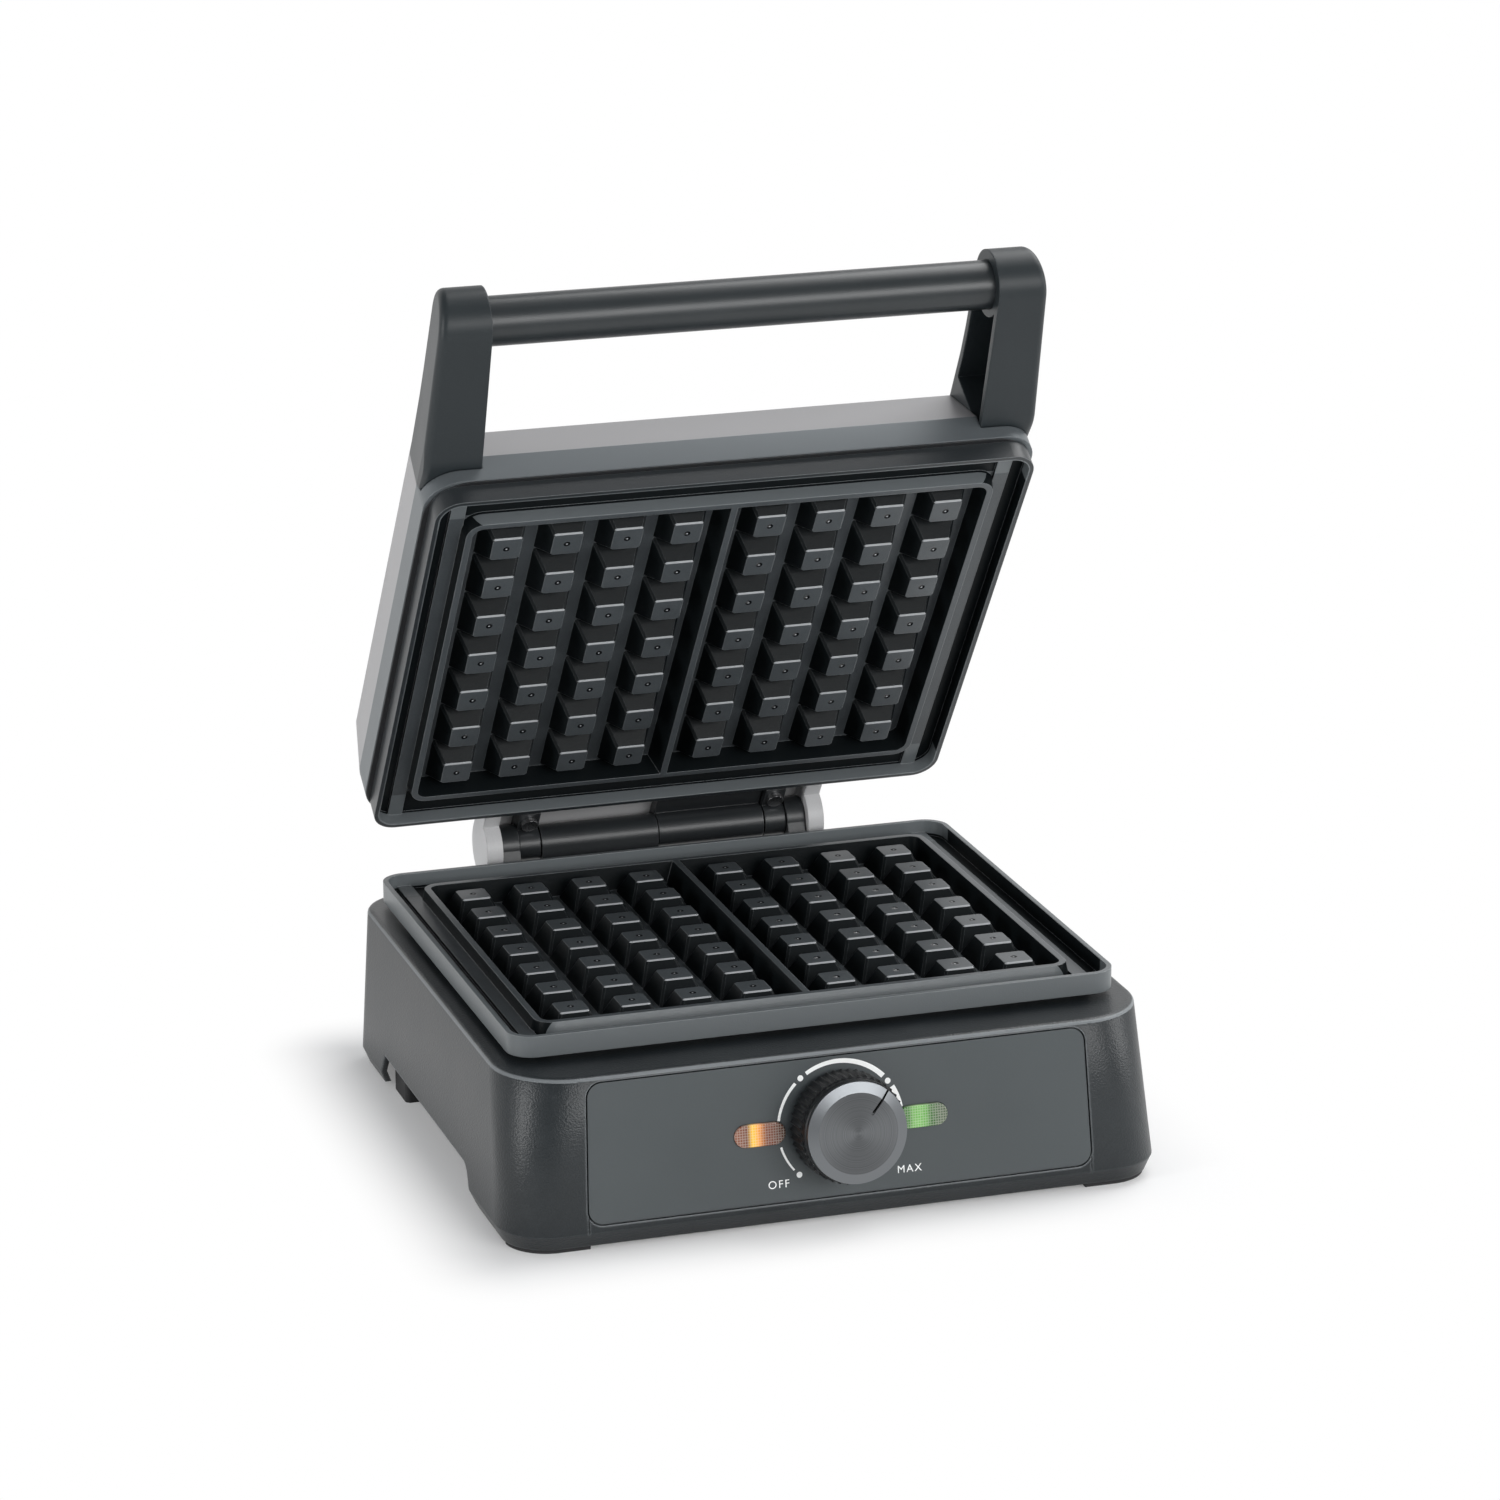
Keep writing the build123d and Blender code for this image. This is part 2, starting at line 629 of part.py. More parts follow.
def housing():
    """Moulded body: leaning front, deck with its opening, posts, arches, hem."""
    block = housing_block()
    body = block - housing_hollow()
    posts = []
    post_top = DECK_Z - 1
    for side in (-1, 1):
        for y in (POST_FRONT_Y, POST_REAR_Y):
            posts.append(rod_z(POST_R, COVER_TOP_Z + TOUCH, post_top, side * POST_X, y))
    for x in BRACKET_SCREW_X:
        posts.append(rod_y(POST_R - 1, DECK_REAR - 10, DECK_REAR, x, BRACKET_SCREW_Z))
    for side in (-1, 1):
        stem = Pos(side * BRACKET_POST_X, BRACKET_EAR_V, 0) * extrude(
            Circle(BRACKET_POST_R), amount=BRACKET_BACK, dir=(0, 0, -1))
        posts.append(on_face(stem))
    for post in posts:
        body += post & block
    body -= slab(OPENING_HALF_X, OPENING_HALF_Y, OPENING_R, DECK_Z - DECK_THICK - 1, DECK_Z + 1)
    for cut in both_sides(arch_cut()):
        body -= cut
    body -= on_face(face_prism(panel_outline(PANEL_GROOVE), -PANEL_THICK - PANEL_SUNK, 4))
    body -= on_face(extrude(Circle(SHAFT_R + 4), amount=FRONT_WALL * 2, dir=(0, 0, -1)))
    for side in (-1, 1):
        window = Pos(side * LENS_X, LENS_V, 0) * face_prism(pill(LENS_GAP), -FRONT_WALL * 2, 0)
        body -= on_face(window)
        line_x = side * PANEL_HALF_LOW
        groove = Pos(line_x, -PANEL_DOWN - PANEL_GROOVE, -PARTING_DEEP / 2) * Box(
            PARTING_WIDE, 8, PARTING_DEEP + 0.2)
        body -= on_face(groove)
        pilot = Pos(side * BRACKET_POST_X, BRACKET_EAR_V, -BRACKET_BACK) * Cylinder(
            SCREW_R + RUN_FIT, 18)
        body -= on_face(pilot)
    for side in (-1, 1):
        for y in (POST_FRONT_Y, POST_REAR_Y):
            body -= rod_z(SCREW_R + RUN_FIT, COVER_TOP_Z - 1, COVER_TOP_Z + COVER_SCREW_UP + 2,
                          side * POST_X, y)
    for x in BRACKET_SCREW_X:
        body -= rod_y(SCREW_R + RUN_FIT, DECK_REAR - 11, DECK_REAR + 4, x, BRACKET_SCREW_Z)
    body -= rod_y(GLAND_BODY_R + TOUCH, DECK_REAR - 8, DECK_REAR + 8, GLAND_X, GLAND_Z)
    return body


def plate_seat():
    """Ring that keeps the hot plate off the deck."""
    return ring_slab(SEAT_HALF_X, SEAT_HALF_Y, PLATE_R, SEAT_IN_X, SEAT_IN_Y, RIDGE_R,
                     DECK_Z + TOUCH, -PLATE_GAP - RIM_DEPTH - TOUCH)


def bottom_cover():
    """Flat cover a little above the arches, with vent slots."""
    line = wall_line(COVER_TOP_Z, WALL + COVER_GAP, FRONT_WALL + COVER_GAP)
    cover = extrude(line, amount=COVER_THICK, dir=(0, 0, -1))
    for side in (-1, 1):
        for y in (POST_FRONT_Y, POST_REAR_Y):
            cover -= rod_z(SCREW_R + HOLE_GAP, COVER_TOP_Z - 3, COVER_TOP_Z + 1, side * POST_X, y)
    for i in range(COVER_SLOTS):
        y = (i - (COVER_SLOTS - 1) / 2) * COVER_SLOT_STEP
        cover -= Pos(0, y, COVER_TOP_Z - COVER_THICK / 2) * extrude(
            SlotOverall(COVER_SLOT_LONG, COVER_SLOT_WIDE), amount=COVER_THICK, both=True)
    return cover


def cover_screws():
    """Screws through the cover into the posts."""
    low = COVER_TOP_Z - COVER_THICK - TOUCH
    length = COVER_THICK + COVER_SCREW_UP
    screws = []
    for side in (-1, 1):
        for y in (POST_FRONT_Y, POST_REAR_Y):
            screws.append(Pos(side * POST_X, y, low) * pan_screw(length))
    return screws


def front_feet():
    """Feet that fill the front corners; their pads reach out under the hem."""
    top = COVER_TOP_Z - COVER_THICK - TOUCH
    under_hem = HEM_Z - TOUCH
    pad = extrude(hem_line(-TABLE_DROP, FOOT_LIP_IN, FOOT_LIP_IN), amount=TABLE_DROP + under_hem,
                  dir=(0, 0, 1))
    pad &= brick(FOOT_FRONT_X0, FOOT_FRONT_X1, SKIRT_FRONT, FOOT_FRONT_REAR_Y, -TABLE_DROP, under_hem)
    stem = brick(FOOT_FRONT_X0, FOOT_STEM_X1, FOOT_STEM_FRONT_Y, FOOT_FRONT_REAR_Y, -TABLE_DROP, top)
    return both_sides(pad + stem)


def rear_feet():
    """Square rubber blocks seen through the rear end of each arch."""
    top = COVER_TOP_Z - COVER_THICK - TOUCH
    foot = brick(FOOT_REAR_X0, FOOT_REAR_X1, FOOT_REAR_Y0, FOOT_REAR_Y1, -TABLE_DROP, top)
    foot = fillet(foot.edges().filter_by(Axis.Z), FOOT_R)
    return both_sides(foot)


# Controls on the front

def front_panel():
    """Smooth plate let into the front, with openings for knob and lenses."""
    panel = face_prism(panel_outline(0), -PANEL_THICK - PANEL_SUNK + TOUCH, -PANEL_SUNK)
    panel -= extrude(Circle(SHAFT_R + 3), amount=6, both=True)
    for side in (-1, 1):
        panel -= Pos(side * LENS_X, LENS_V, 0) * face_prism(pill(LENS_GAP), -6, 6)
    return on_face(panel)


def lens(side):
    """Pill lens with a flange behind the wall and a hollow for its lamp."""
    body = face_prism(pill(0), -LENS_BACK, LENS_PROUD)
    front_edges = body.faces().sort_by(Axis.Z)[-1].edges()
    body = fillet(front_edges, LENS_PROUD * 0.7)
    flange_front = -face_wall_depth() - TOUCH
    body += face_prism(pill(LENS_FLANGE), flange_front - 1.2, flange_front)
    body -= face_prism(pill(-LENS_WALL), -LENS_BACK - 4, -LENS_WALL)
    return on_face(Pos(side * LENS_X, LENS_V, 0) * body)


def face_wall_depth():
    """Thickness of the front wall measured square to its leaning face."""
    return FRONT_WALL * math.cos(FACE_LEAN)


def lamps():
    """A small glass lamp behind each lens, standing off the control bracket."""
    found = []
    for side in (-1, 1):
        depth = LENS_BACK - LAMP_IN
        glass = Pos(side * LENS_X, LENS_V, -depth) * Rot(0, 90, 0) * Cylinder(LAMP_R, LAMP_LONG)
        holder_long = BRACKET_BACK - depth - TOUCH
        holder = Pos(side * LENS_X, LENS_V, -depth - holder_long / 2) * Box(*LAMP_HOLDER, holder_long)
        found.append(on_face(glass + holder))
    return found


def control_bracket():
    """Steel strip that carries the control and both lamps."""
    strip = Pos(0, 0, -BRACKET_BACK - BRACKET_THICK) * extrude(
        RectangleRounded(2 * (BRACKET_HALF_X + BRACKET_OVER), 2 * BRACKET_HALF_V, BRACKET_R),
        amount=BRACKET_THICK - TOUCH)
    strip -= extrude(Circle(CONTROL_NECK_R + TOUCH), amount=60, both=True)
    for side in (-1, 1):
        strip -= Pos(side * BRACKET_POST_X, BRACKET_EAR_V, 0) * extrude(
            Circle(SCREW_R + HOLE_GAP), amount=60, both=True)
    return on_face(strip)


def bracket_fixings():
    """Two screws that hold the control bracket to the front wall."""
    low = -BRACKET_BACK - BRACKET_THICK - TOUCH
    return [on_face(Pos(side * BRACKET_POST_X, BRACKET_EAR_V, low) * pan_screw(BRACKET_SCREW_IN))
            for side in (-1, 1)]


def control_body():
    """The temperature control: round can, neck and two flat terminals."""
    front = -BRACKET_BACK - BRACKET_THICK - TOUCH
    can = Pos(0, 0, front - CONTROL_DEEP / 2) * Cylinder(CONTROL_R, CONTROL_DEEP)
    can += rod_z(CONTROL_NECK_R, front - 1, front + CONTROL_NECK_LONG, 0, 0)
    tab_long = CONTROL_TAB[2]
    for side in (-1, 1):
        can += Pos(side * CONTROL_TAB_X, 0, front - CONTROL_DEEP + 0.5 - tab_long / 2) * Box(
            CONTROL_TAB[0], CONTROL_TAB[1], tab_long + 1)
    can -= rod_z(SHAFT_R + RUN_FIT, front - CONTROL_BORE, front + CONTROL_NECK_LONG + 1, 0, 0)
    return on_face(can)


def knob_shaft():
    """Shaft with a flat at its knob end."""
    low = -BRACKET_BACK - BRACKET_THICK - SHAFT_IN
    high = KNOB_DISC_AT - KNOB_WEB - TOUCH
    shaft = Pos(0, 0, (low + high) / 2) * Cylinder(SHAFT_R, high - low)
    flat_low = KNOB_START + 2
    shaft -= brick(-SHAFT_R, SHAFT_R, SHAFT_R - SHAFT_FLAT, SHAFT_R + 1, flat_low, high + 1)
    return on_face(shaft)


def knob_skirt():
    """Black knob body: ribbed skirt, hollow back and a hub bored for the shaft."""
    ring_top = KNOB_DISC_AT
    core_r = KNOB_R - KNOB_CORE_IN
    outline = [
        (0, KNOB_START),
        (core_r - KNOB_EDGE, KNOB_START),
        (core_r, KNOB_RIB_START),
        (core_r, KNOB_RIB_END),
        (KNOB_FRONT_R, KNOB_RIB_END + 1),
        (KNOB_FRONT_R, ring_top - KNOB_EDGE),
        (KNOB_FRONT_R - KNOB_EDGE, ring_top),
        (0, ring_top),
    ]
    body = revolve(make_face(Plane.XZ * Polyline(*outline, close=True)), axis=Axis.Z)
    hollow_top = ring_top - KNOB_WEB
    hollow = Pos(0, 0, (KNOB_START - 1 + hollow_top) / 2) * Cylinder(
        KNOB_R - KNOB_WALL, hollow_top - KNOB_START + 1)
    hub = Pos(0, 0, (KNOB_START + 1 + hollow_top) / 2) * Cylinder(
        KNOB_HUB_R, hollow_top - KNOB_START - 1)
    body -= hollow - hub
    bore = Pos(0, 0, hollow_top / 2) * Cylinder(SHAFT_R + TOUCH, hollow_top)
    flat_low = KNOB_START + 2
    bore -= brick(-SHAFT_R - 1, SHAFT_R + 1, SHAFT_R - SHAFT_FLAT + TOUCH, SHAFT_R + 2,
                  flat_low + TOUCH, hollow_top + 1)
    body -= bore
    rib_long = KNOB_RIB_END - KNOB_RIB_START
    rib = Pos(core_r - 0.1, 0, (KNOB_RIB_START + KNOB_RIB_END) / 2) * Rot(0, 0, 45) * Box(
        2 * KNOB_RIB_R, 2 * KNOB_RIB_R, rib_long)
    ribs = [Rot(0, 0, 360 * i / KNOB_RIBS) * rib for i in range(KNOB_RIBS)]
    body = body.fuse(*ribs)
    return on_face(body)


def knob_face():
    """Turned metal disc with a bevelled rim and a pointer groove."""
    low = KNOB_DISC_AT + TOUCH
    outline = [
        (0, low),
        (KNOB_DISC_R, low),
        (KNOB_DISC_R, KNOB_PROUD - KNOB_BEVEL),
        (KNOB_FLAT_R, KNOB_PROUD),
        (0, KNOB_PROUD),
    ]
    disc = revolve(make_face(Plane.XZ * Polyline(*outline, close=True)), axis=Axis.Z)
    groove = brick(-POINTER_WIDE / 2, POINTER_WIDE / 2, POINTER_IN, POINTER_OUT,
                   KNOB_PROUD - POINTER_DEEP, KNOB_PROUD + 1)
    disc -= Rot(0, 0, -POINTER_TURN) * groove
    return on_face(disc)


# Rear of the base

def terminal_block():
    """Three way block standing on the bottom cover."""
    long, deep, high = TERMINAL_SIZE
    low = COVER_TOP_Z + TOUCH
    block = brick(TERMINAL_X - long / 2, TERMINAL_X + long / 2, TERMINAL_Y - deep / 2,
                  TERMINAL_Y + deep / 2, low, low + high)
    for i in range(TERMINAL_WAYS):
        x = TERMINAL_X + (i - (TERMINAL_WAYS - 1) / 2) * TERMINAL_PITCH
        block -= rod_y(TERMINAL_BORE, TERMINAL_Y - deep, TERMINAL_Y + deep, x, low + high * 0.4)
        block -= rod_z(TERMINAL_BORE, low + high * 0.7, low + high + 1, x, TERMINAL_Y)
    return block


def cord_gland():
    """The inlet for the cord: flange outside, nut inside, a bore through both."""
    wall_y = DECK_REAR + (SKIRT_REAR - DECK_REAR) * (DECK_Z - GLAND_Z) / (DECK_Z - SKIRT_Z)
    flange_y = wall_y + GLAND_SEAT
    nut_y = wall_y - WALL - GLAND_SEAT
    out_y = flange_y + GLAND_HEAD_LONG
    in_y = nut_y - GLAND_NUT_LONG
    gland = rod_y(GLAND_FLANGE_R, flange_y, out_y, GLAND_X, GLAND_Z)
    gland = fillet(gland.faces().sort_by(Axis.Y)[-1].edges(), GLAND_ROUND)
    gland += rod_y(GLAND_BODY_R, in_y, out_y - GLAND_ROUND, GLAND_X, GLAND_Z)
    gland += rod_y(GLAND_FLANGE_R, in_y, nut_y, GLAND_X, GLAND_Z)
    gland -= rod_y(GLAND_BORE_R, in_y - 1, out_y + 1, GLAND_X, GLAND_Z)
    return gland


# Hinge

def eye(r, x0, x1):
    """A round knuckle about the hinge axis, without its bore."""
    return rod_x(r, x0, x1, HINGE_Y, HINGE_Z)


def bore_for_pin(gap):
    """The hole that the pin takes through every knuckle."""
    return rod_x(PIN_R + gap, -PIN_HALF - 0.2, PIN_HALF + 0.2, HINGE_Y, HINGE_Z)


def hinge_bracket(block):
    """Rear casting of the base with an upright lug at each end."""
    body = brick(-BRACKET_HALF_LONG, BRACKET_HALF_LONG, DECK_REAR - 6, BRACKET_REAR_Y,
                 BRACKET_LOW_Z, BRACKET_TOP_Z)
    body -= brick(-BRACKET_HALF_LONG - 1, BRACKET_HALF_LONG + 1, DECK_REAR - 7, DECK_REAR + 0.3,
                  DECK_Z - 3, 0)
    lug = side_prism([
        (DECK_REAR - 4, BRACKET_LOW_Z),
        (BRACKET_REAR_Y, BRACKET_LOW_Z),
        (BRACKET_REAR_Y, HINGE_Z),
        (HINGE_Y - LUG_R, HINGE_Z),
        (DECK_REAR + 0.4, DECK_Z + 1),
    ], LUG_X0, LUG_X1)
    lug += eye(LUG_R, LUG_X0, LUG_X1)
    for piece in both_sides(lug):
        body += piece
    body -= block
    body -= bore_for_pin(TOUCH / 2)
    for x in BRACKET_SCREW_X:
        body -= rod_y(SCREW_R + HOLE_GAP, DECK_REAR - 7, BRACKET_REAR_Y + 1, x, BRACKET_SCREW_Z)
    return body


def bracket_screws():
    """Four screws through the hinge casting into the rear wall."""
    place = Rot(90, 0, 0)
    y = BRACKET_REAR_Y + TOUCH
    return [Pos(x, y, BRACKET_SCREW_Z) * place * pan_screw(BRACKET_SCREW_LONG)
            for x in BRACKET_SCREW_X]


def hinge_barrel_left():
    """Long knuckle of the base, standing on the casting."""
    body = eye(EYE_R, BARREL_LEFT_X0, BARREL_LEFT_X1)
    body += brick(BARREL_LEFT_X0, BARREL_LEFT_X1, HINGE_Y - EYE_R, BRACKET_REAR_Y,
                  BRACKET_TOP_Z + TOUCH, HINGE_Z)
    return body - bore_for_pin(TOUCH / 2)


def hinge_pin():
    """The pin, pressed into the lugs of the base."""
    pin = rod_x(PIN_R, -PIN_HALF, PIN_HALF, HINGE_Y, HINGE_Z)
    return chamfer(pin.edges().filter_by(GeomType.CIRCLE), 0.5)


def lid_leaf(x0, x1, front, low):
    """A lid knuckle with the block that screws up under the shell."""
    top = COVER_IN_R - TOUCH
    body = eye(EYE_R, x0, x1)
    body += brick(x0, x1, front, HINGE_Y, low, top)
    return body - bore_for_pin(RUN_FIT)


def hinge_knuckles():
    """Two knuckle blocks at the ends of the hinge."""
    block = lid_leaf(KNUCKLE_X0, KNUCKLE_X1, KNUCKLE_FRONT_Y, KNUCKLE_LOW_Z)
    x = (KNUCKLE_X0 + KNUCKLE_X1) / 2
    block -= rod_z(SCREW_R + HOLE_GAP, 0, COVER_IN_R + 1, x, KNUCKLE_SCREW_Y)
    return both_sides(block)


def hinge_barrel_right():
    """Long knuckle of the lid with its thin leaf."""
    return lid_leaf(BARREL_RIGHT_X0, BARREL_RIGHT_X1, KNUCKLE_FRONT_Y, LEAF_LOW_Z)


def hinge_screws():
    """Screws that go up through the lid knuckles into the hinge cover."""
    x = (KNUCKLE_X0 + KNUCKLE_X1) / 2
    low = KNUCKLE_LOW_Z - TOUCH
    long = COVER_IN_R - KNUCKLE_LOW_Z + KNUCKLE_SCREW_BITE
    return [Pos(side * x, KNUCKLE_SCREW_Y, low) * pan_screw(long) for side in (-1, 1)]


# Handle arms

def tangent_point(point, centre, r, turn):
    """Where a line from a point touches a circle; turn is +1 or -1 for the side."""
    dy = centre[0] - point[0]
    dz = centre[1] - point[1]
    reach = math.hypot(dy, dz)
    aim = math.atan2(dz, dy) + turn * math.asin(r / reach)
    along = math.sqrt(reach * reach - r * r)
    return (point[0] + along * math.cos(aim), point[1] + along * math.sin(aim))


def arm_outline(inset):
    """Side view of an arm, moved inwards by an inset, as one closed face."""
    centre = (TUBE_Y, TUBE_Z)
    r = ARM_END_R - inset
    under = (ARM_UNDER_FRONT[0], ARM_UNDER_FRONT[1] + inset)
    over = (ARM_TOP_FRONT[0], ARM_TOP_FRONT[1] - inset)
    low = tangent_point(under, centre, r, 1)
    high = tangent_point(over, centre, r, -1)
    top = (TUBE_Y - r, TUBE_Z)
    edges = [
        Line((0, *ARM_ROOT_TIP), (0, *under)),
        Line((0, *under), (0, *low)),
        ThreePointArc((0, *low), (0, *top), (0, *high)),
        Line((0, *high), (0, *over)),
        Line((0, *over), (0, ARM_TOP_MID[0], ARM_TOP_MID[1] - inset)),
        Line((0, ARM_TOP_MID[0], ARM_TOP_MID[1] - inset), (0, ARM_TOP_BACK[0], ARM_TOP_BACK[1] - inset)),
        Line((0, ARM_TOP_BACK[0], ARM_TOP_BACK[1] - inset), (0, ARM_ROOT_TOP[0], ARM_ROOT_TOP[1] - inset)),
        Line((0, ARM_ROOT_TOP[0], ARM_ROOT_TOP[1] - inset), (0, *ARM_ROOT_TIP)),
    ]
    face = Face(Wire([edge.edge() for edge in edges]))
    back = (ARM_TOP_BACK[0], ARM_TOP_BACK[1] - inset)
    mid = (ARM_TOP_MID[0], ARM_TOP_MID[1] - inset)
    for bend, r in ((under, 20.0), (over, 40.0), (mid, 30.0), (back, 12.0)):
        vertex = face.vertices().sort_by_distance((0, *bend))[0]
        face = face.fillet_2d(r, [vertex])
    return face


def arm_sides():
    """The room between the flat inside and the slanting outside of an arm."""
    front_y = TUBE_Y - ARM_END_R - 5
    rear_y = ARM_ROOT_TOP[0] + 5
    lean = (LID_HALF_X - LID_TOP_HALF_X) / (LID_TOP_Z - LID_BAND_Z)
    low_x = LID_HALF_X + lean * LID_BAND_Z
    high_x = LID_HALF_X - lean * (ARM_TIP_Z - LID_BAND_Z)
    points = [(ARM_IN_X, 0), (low_x, 0), (high_x, ARM_TIP_Z), (ARM_IN_X, ARM_TIP_Z)]
    wire = Polyline(*[(x, 0, z) for x, z in points], close=True)
    face = Face(Wire(wire.edges()))
    return Pos(0, front_y, 0) * extrude(face, amount=rear_y - front_y, dir=(0, 1, 0))


def handle_arm():
    """Right arm: an open channel with a socket for the tube and a tongue in the lid."""
    outer = extrude(arm_outline(0), amount=LID_HALF_X + 10, dir=(1, 0, 0)) & arm_sides()
    side = outer.faces().filter_by(lambda f: f.center().X > ARM_POCKET_X).sort_by(SortBy.AREA)[-1]
    root_y = (ARM_ROOT_TOP[0] + ARM_ROOT_TIP[0]) / 2
    rounded = side.edges().filter_by(lambda e: abs(e.center().Y - root_y) > 1)
    outer = fillet(rounded, ARM_CORNER_R)
    outer &= brick(ARM_IN_X, LID_HALF_X, TUBE_Y - 30, 0, 0, 90)
    pocket_face = arm_outline(ARM_WALL)
    pocket = Pos(ARM_IN_X - 1, 0, 0) * extrude(pocket_face, amount=ARM_POCKET_X - ARM_IN_X + 1,
                                               dir=(1, 0, 0))
    pocket -= brick(ARM_IN_X - 2, LID_HALF_X, ARM_POCKET_BACK, 0, 0, 90)
    pocket -= rod_x(ARM_BOSS_R, ARM_IN_X - 2, LID_HALF_X, TUBE_Y, TUBE_Z)
    arm = outer - pocket
    tongue = brick(TONGUE_X0, TONGUE_X1, ARM_ROOT_TIP[0] + 3, TONGUE_REAR_Y, TONGUE_LOW_Z,
                   TONGUE_HIGH_Z)
    arm += tongue
    arm -= rod_z(SCREW_R + HOLE_GAP, TONGUE_LOW_Z - 1, TONGUE_HIGH_Z + 1, TONGUE_SCREW_X,
                 TONGUE_SCREW_Y)
    arm -= rod_x(TUBE_R + TOUCH, ARM_IN_X - 1, TUBE_HALF + TOUCH, TUBE_Y, TUBE_Z)
    return arm


def handle_tube():
    """Plain round tube between the arms."""
    tube = rod_x(TUBE_R, -TUBE_HALF, TUBE_HALF, TUBE_Y, TUBE_Z)
    return tube - rod_x(TUBE_R - TUBE_WALL, -TUBE_HALF - 1, TUBE_HALF + 1, TUBE_Y, TUBE_Z)


def handle_screws():
    """One screw up through each tongue into the shell."""
    low = TONGUE_LOW_Z - TOUCH
    long = TONGUE_HIGH_Z - TONGUE_LOW_Z + 6
    return [Pos(side * TONGUE_SCREW_X, TONGUE_SCREW_Y, low) * pan_screw(long) for side in (-1, 1)]


# Lid shell and its frame

def lid_form(inset):
    """The outside of the lid as a solid, moved inwards by an inset."""
    band_low = plan(LID_HALF_X - inset, -LID_HALF_Y + inset, LID_HALF_Y - inset,
                    LID_R_FRONT - inset, LID_R_REAR - inset, LID_LIP_Z - (1 if inset else 0))
    band_high_z = LID_BAND_Z
    form = extrude(band_low, amount=band_high_z - LID_LIP_Z + (1 if inset else 0), dir=(0, 0, 1))
    foot = plan(LID_HALF_X - inset, -LID_HALF_Y + inset, LID_HALF_Y - inset,
                LID_R_FRONT - inset, LID_R_REAR - inset, band_high_z)
    crown = plan(LID_TOP_HALF_X - inset, LID_TOP_FRONT + inset, LID_TOP_REAR - inset,
                 LID_TOP_R_FRONT - inset, LID_TOP_R_REAR - inset, LID_TOP_Z - inset)
    return form + loft([foot, crown], ruled=True)


def hinge_cover():
    """Cover of the hinge: a flange on the shell, a roof and a curl behind the pin."""
    seat_y = LID_HALF_Y + TOUCH
    profile = [
        (seat_y, COVER_IN_R),
        (HINGE_Y, COVER_IN_R),
        (HINGE_Y, COVER_OUT_R),
        (COVER_ROOF_Y, COVER_OUT_R),
        (COVER_FLANGE_Y, COVER_FLANGE_Z),
        (seat_y, COVER_FLANGE_Z),
    ]
    cover = side_prism(profile, -COVER_END_X1, COVER_END_X1)
    curl = rod_x(COVER_OUT_R, -COVER_END_X1, COVER_END_X1, HINGE_Y, HINGE_Z)
    curl -= rod_x(COVER_IN_R, -COVER_END_X1, COVER_END_X1, HINGE_Y, HINGE_Z)
    cover += curl & brick(-COVER_END_X1, COVER_END_X1, HINGE_Y, HINGE_Y + COVER_OUT_R, HINGE_Z,
                          HINGE_Z + COVER_OUT_R)
    cheek = brick(COVER_END_X0, COVER_END_X1, seat_y, HINGE_Y, COVER_END_LOW_Z, COVER_OUT_R)
    cheek += eye(COVER_OUT_R, COVER_END_X0, COVER_END_X1)
    for piece in both_sides(cheek):
        cover += piece
    for x in COVER_SCREW_X:
        cover -= rod_y(SCREW_R + RUN_FIT, seat_y - 1, LID_HALF_Y - LID_WALL + COVER_SCREW_LONG, x,
                       COVER_SCREW_Z)
    knuckle_x = (KNUCKLE_X0 + KNUCKLE_X1) / 2
    for x in (-knuckle_x, knuckle_x):
        cover -= rod_z(SCREW_R + RUN_FIT, 0, COVER_IN_R + KNUCKLE_SCREW_BITE + TOUCH, x,
                       KNUCKLE_SCREW_Y)
    return cover


def cover_fixings():
    """Screws from inside the lid, through the rear of the shell into the cover."""
    y = LID_HALF_Y - LID_WALL - TOUCH
    return [Pos(x, y, COVER_SCREW_Z) * Rot(-90, 0, 0) * pan_screw(COVER_SCREW_LONG)
            for x in COVER_SCREW_X]


def arm_notch():
    """What the shell gives up at a front corner to let the arm in."""
    points = [
        (ARM_ROOT_TOP[0] + NOTCH_GAP, ARM_ROOT_TOP[1]),
        (ARM_ROOT_TIP[0] + NOTCH_GAP, ARM_ROOT_TIP[1] - NOTCH_GAP),
        (ARM_UNDER_FRONT[0], ARM_UNDER_FRONT[1] - NOTCH_GAP),
        (ARM_UNDER_FRONT[0] - 30, ARM_UNDER_FRONT[1] - NOTCH_GAP),
        (ARM_UNDER_FRONT[0] - 30, ARM_TIP_Z),
        (ARM_ROOT_TOP[0] + 6, ARM_TIP_Z),
    ]
    return side_prism(points, ARM_IN_X - NOTCH_GAP, LID_HALF_X + 5)


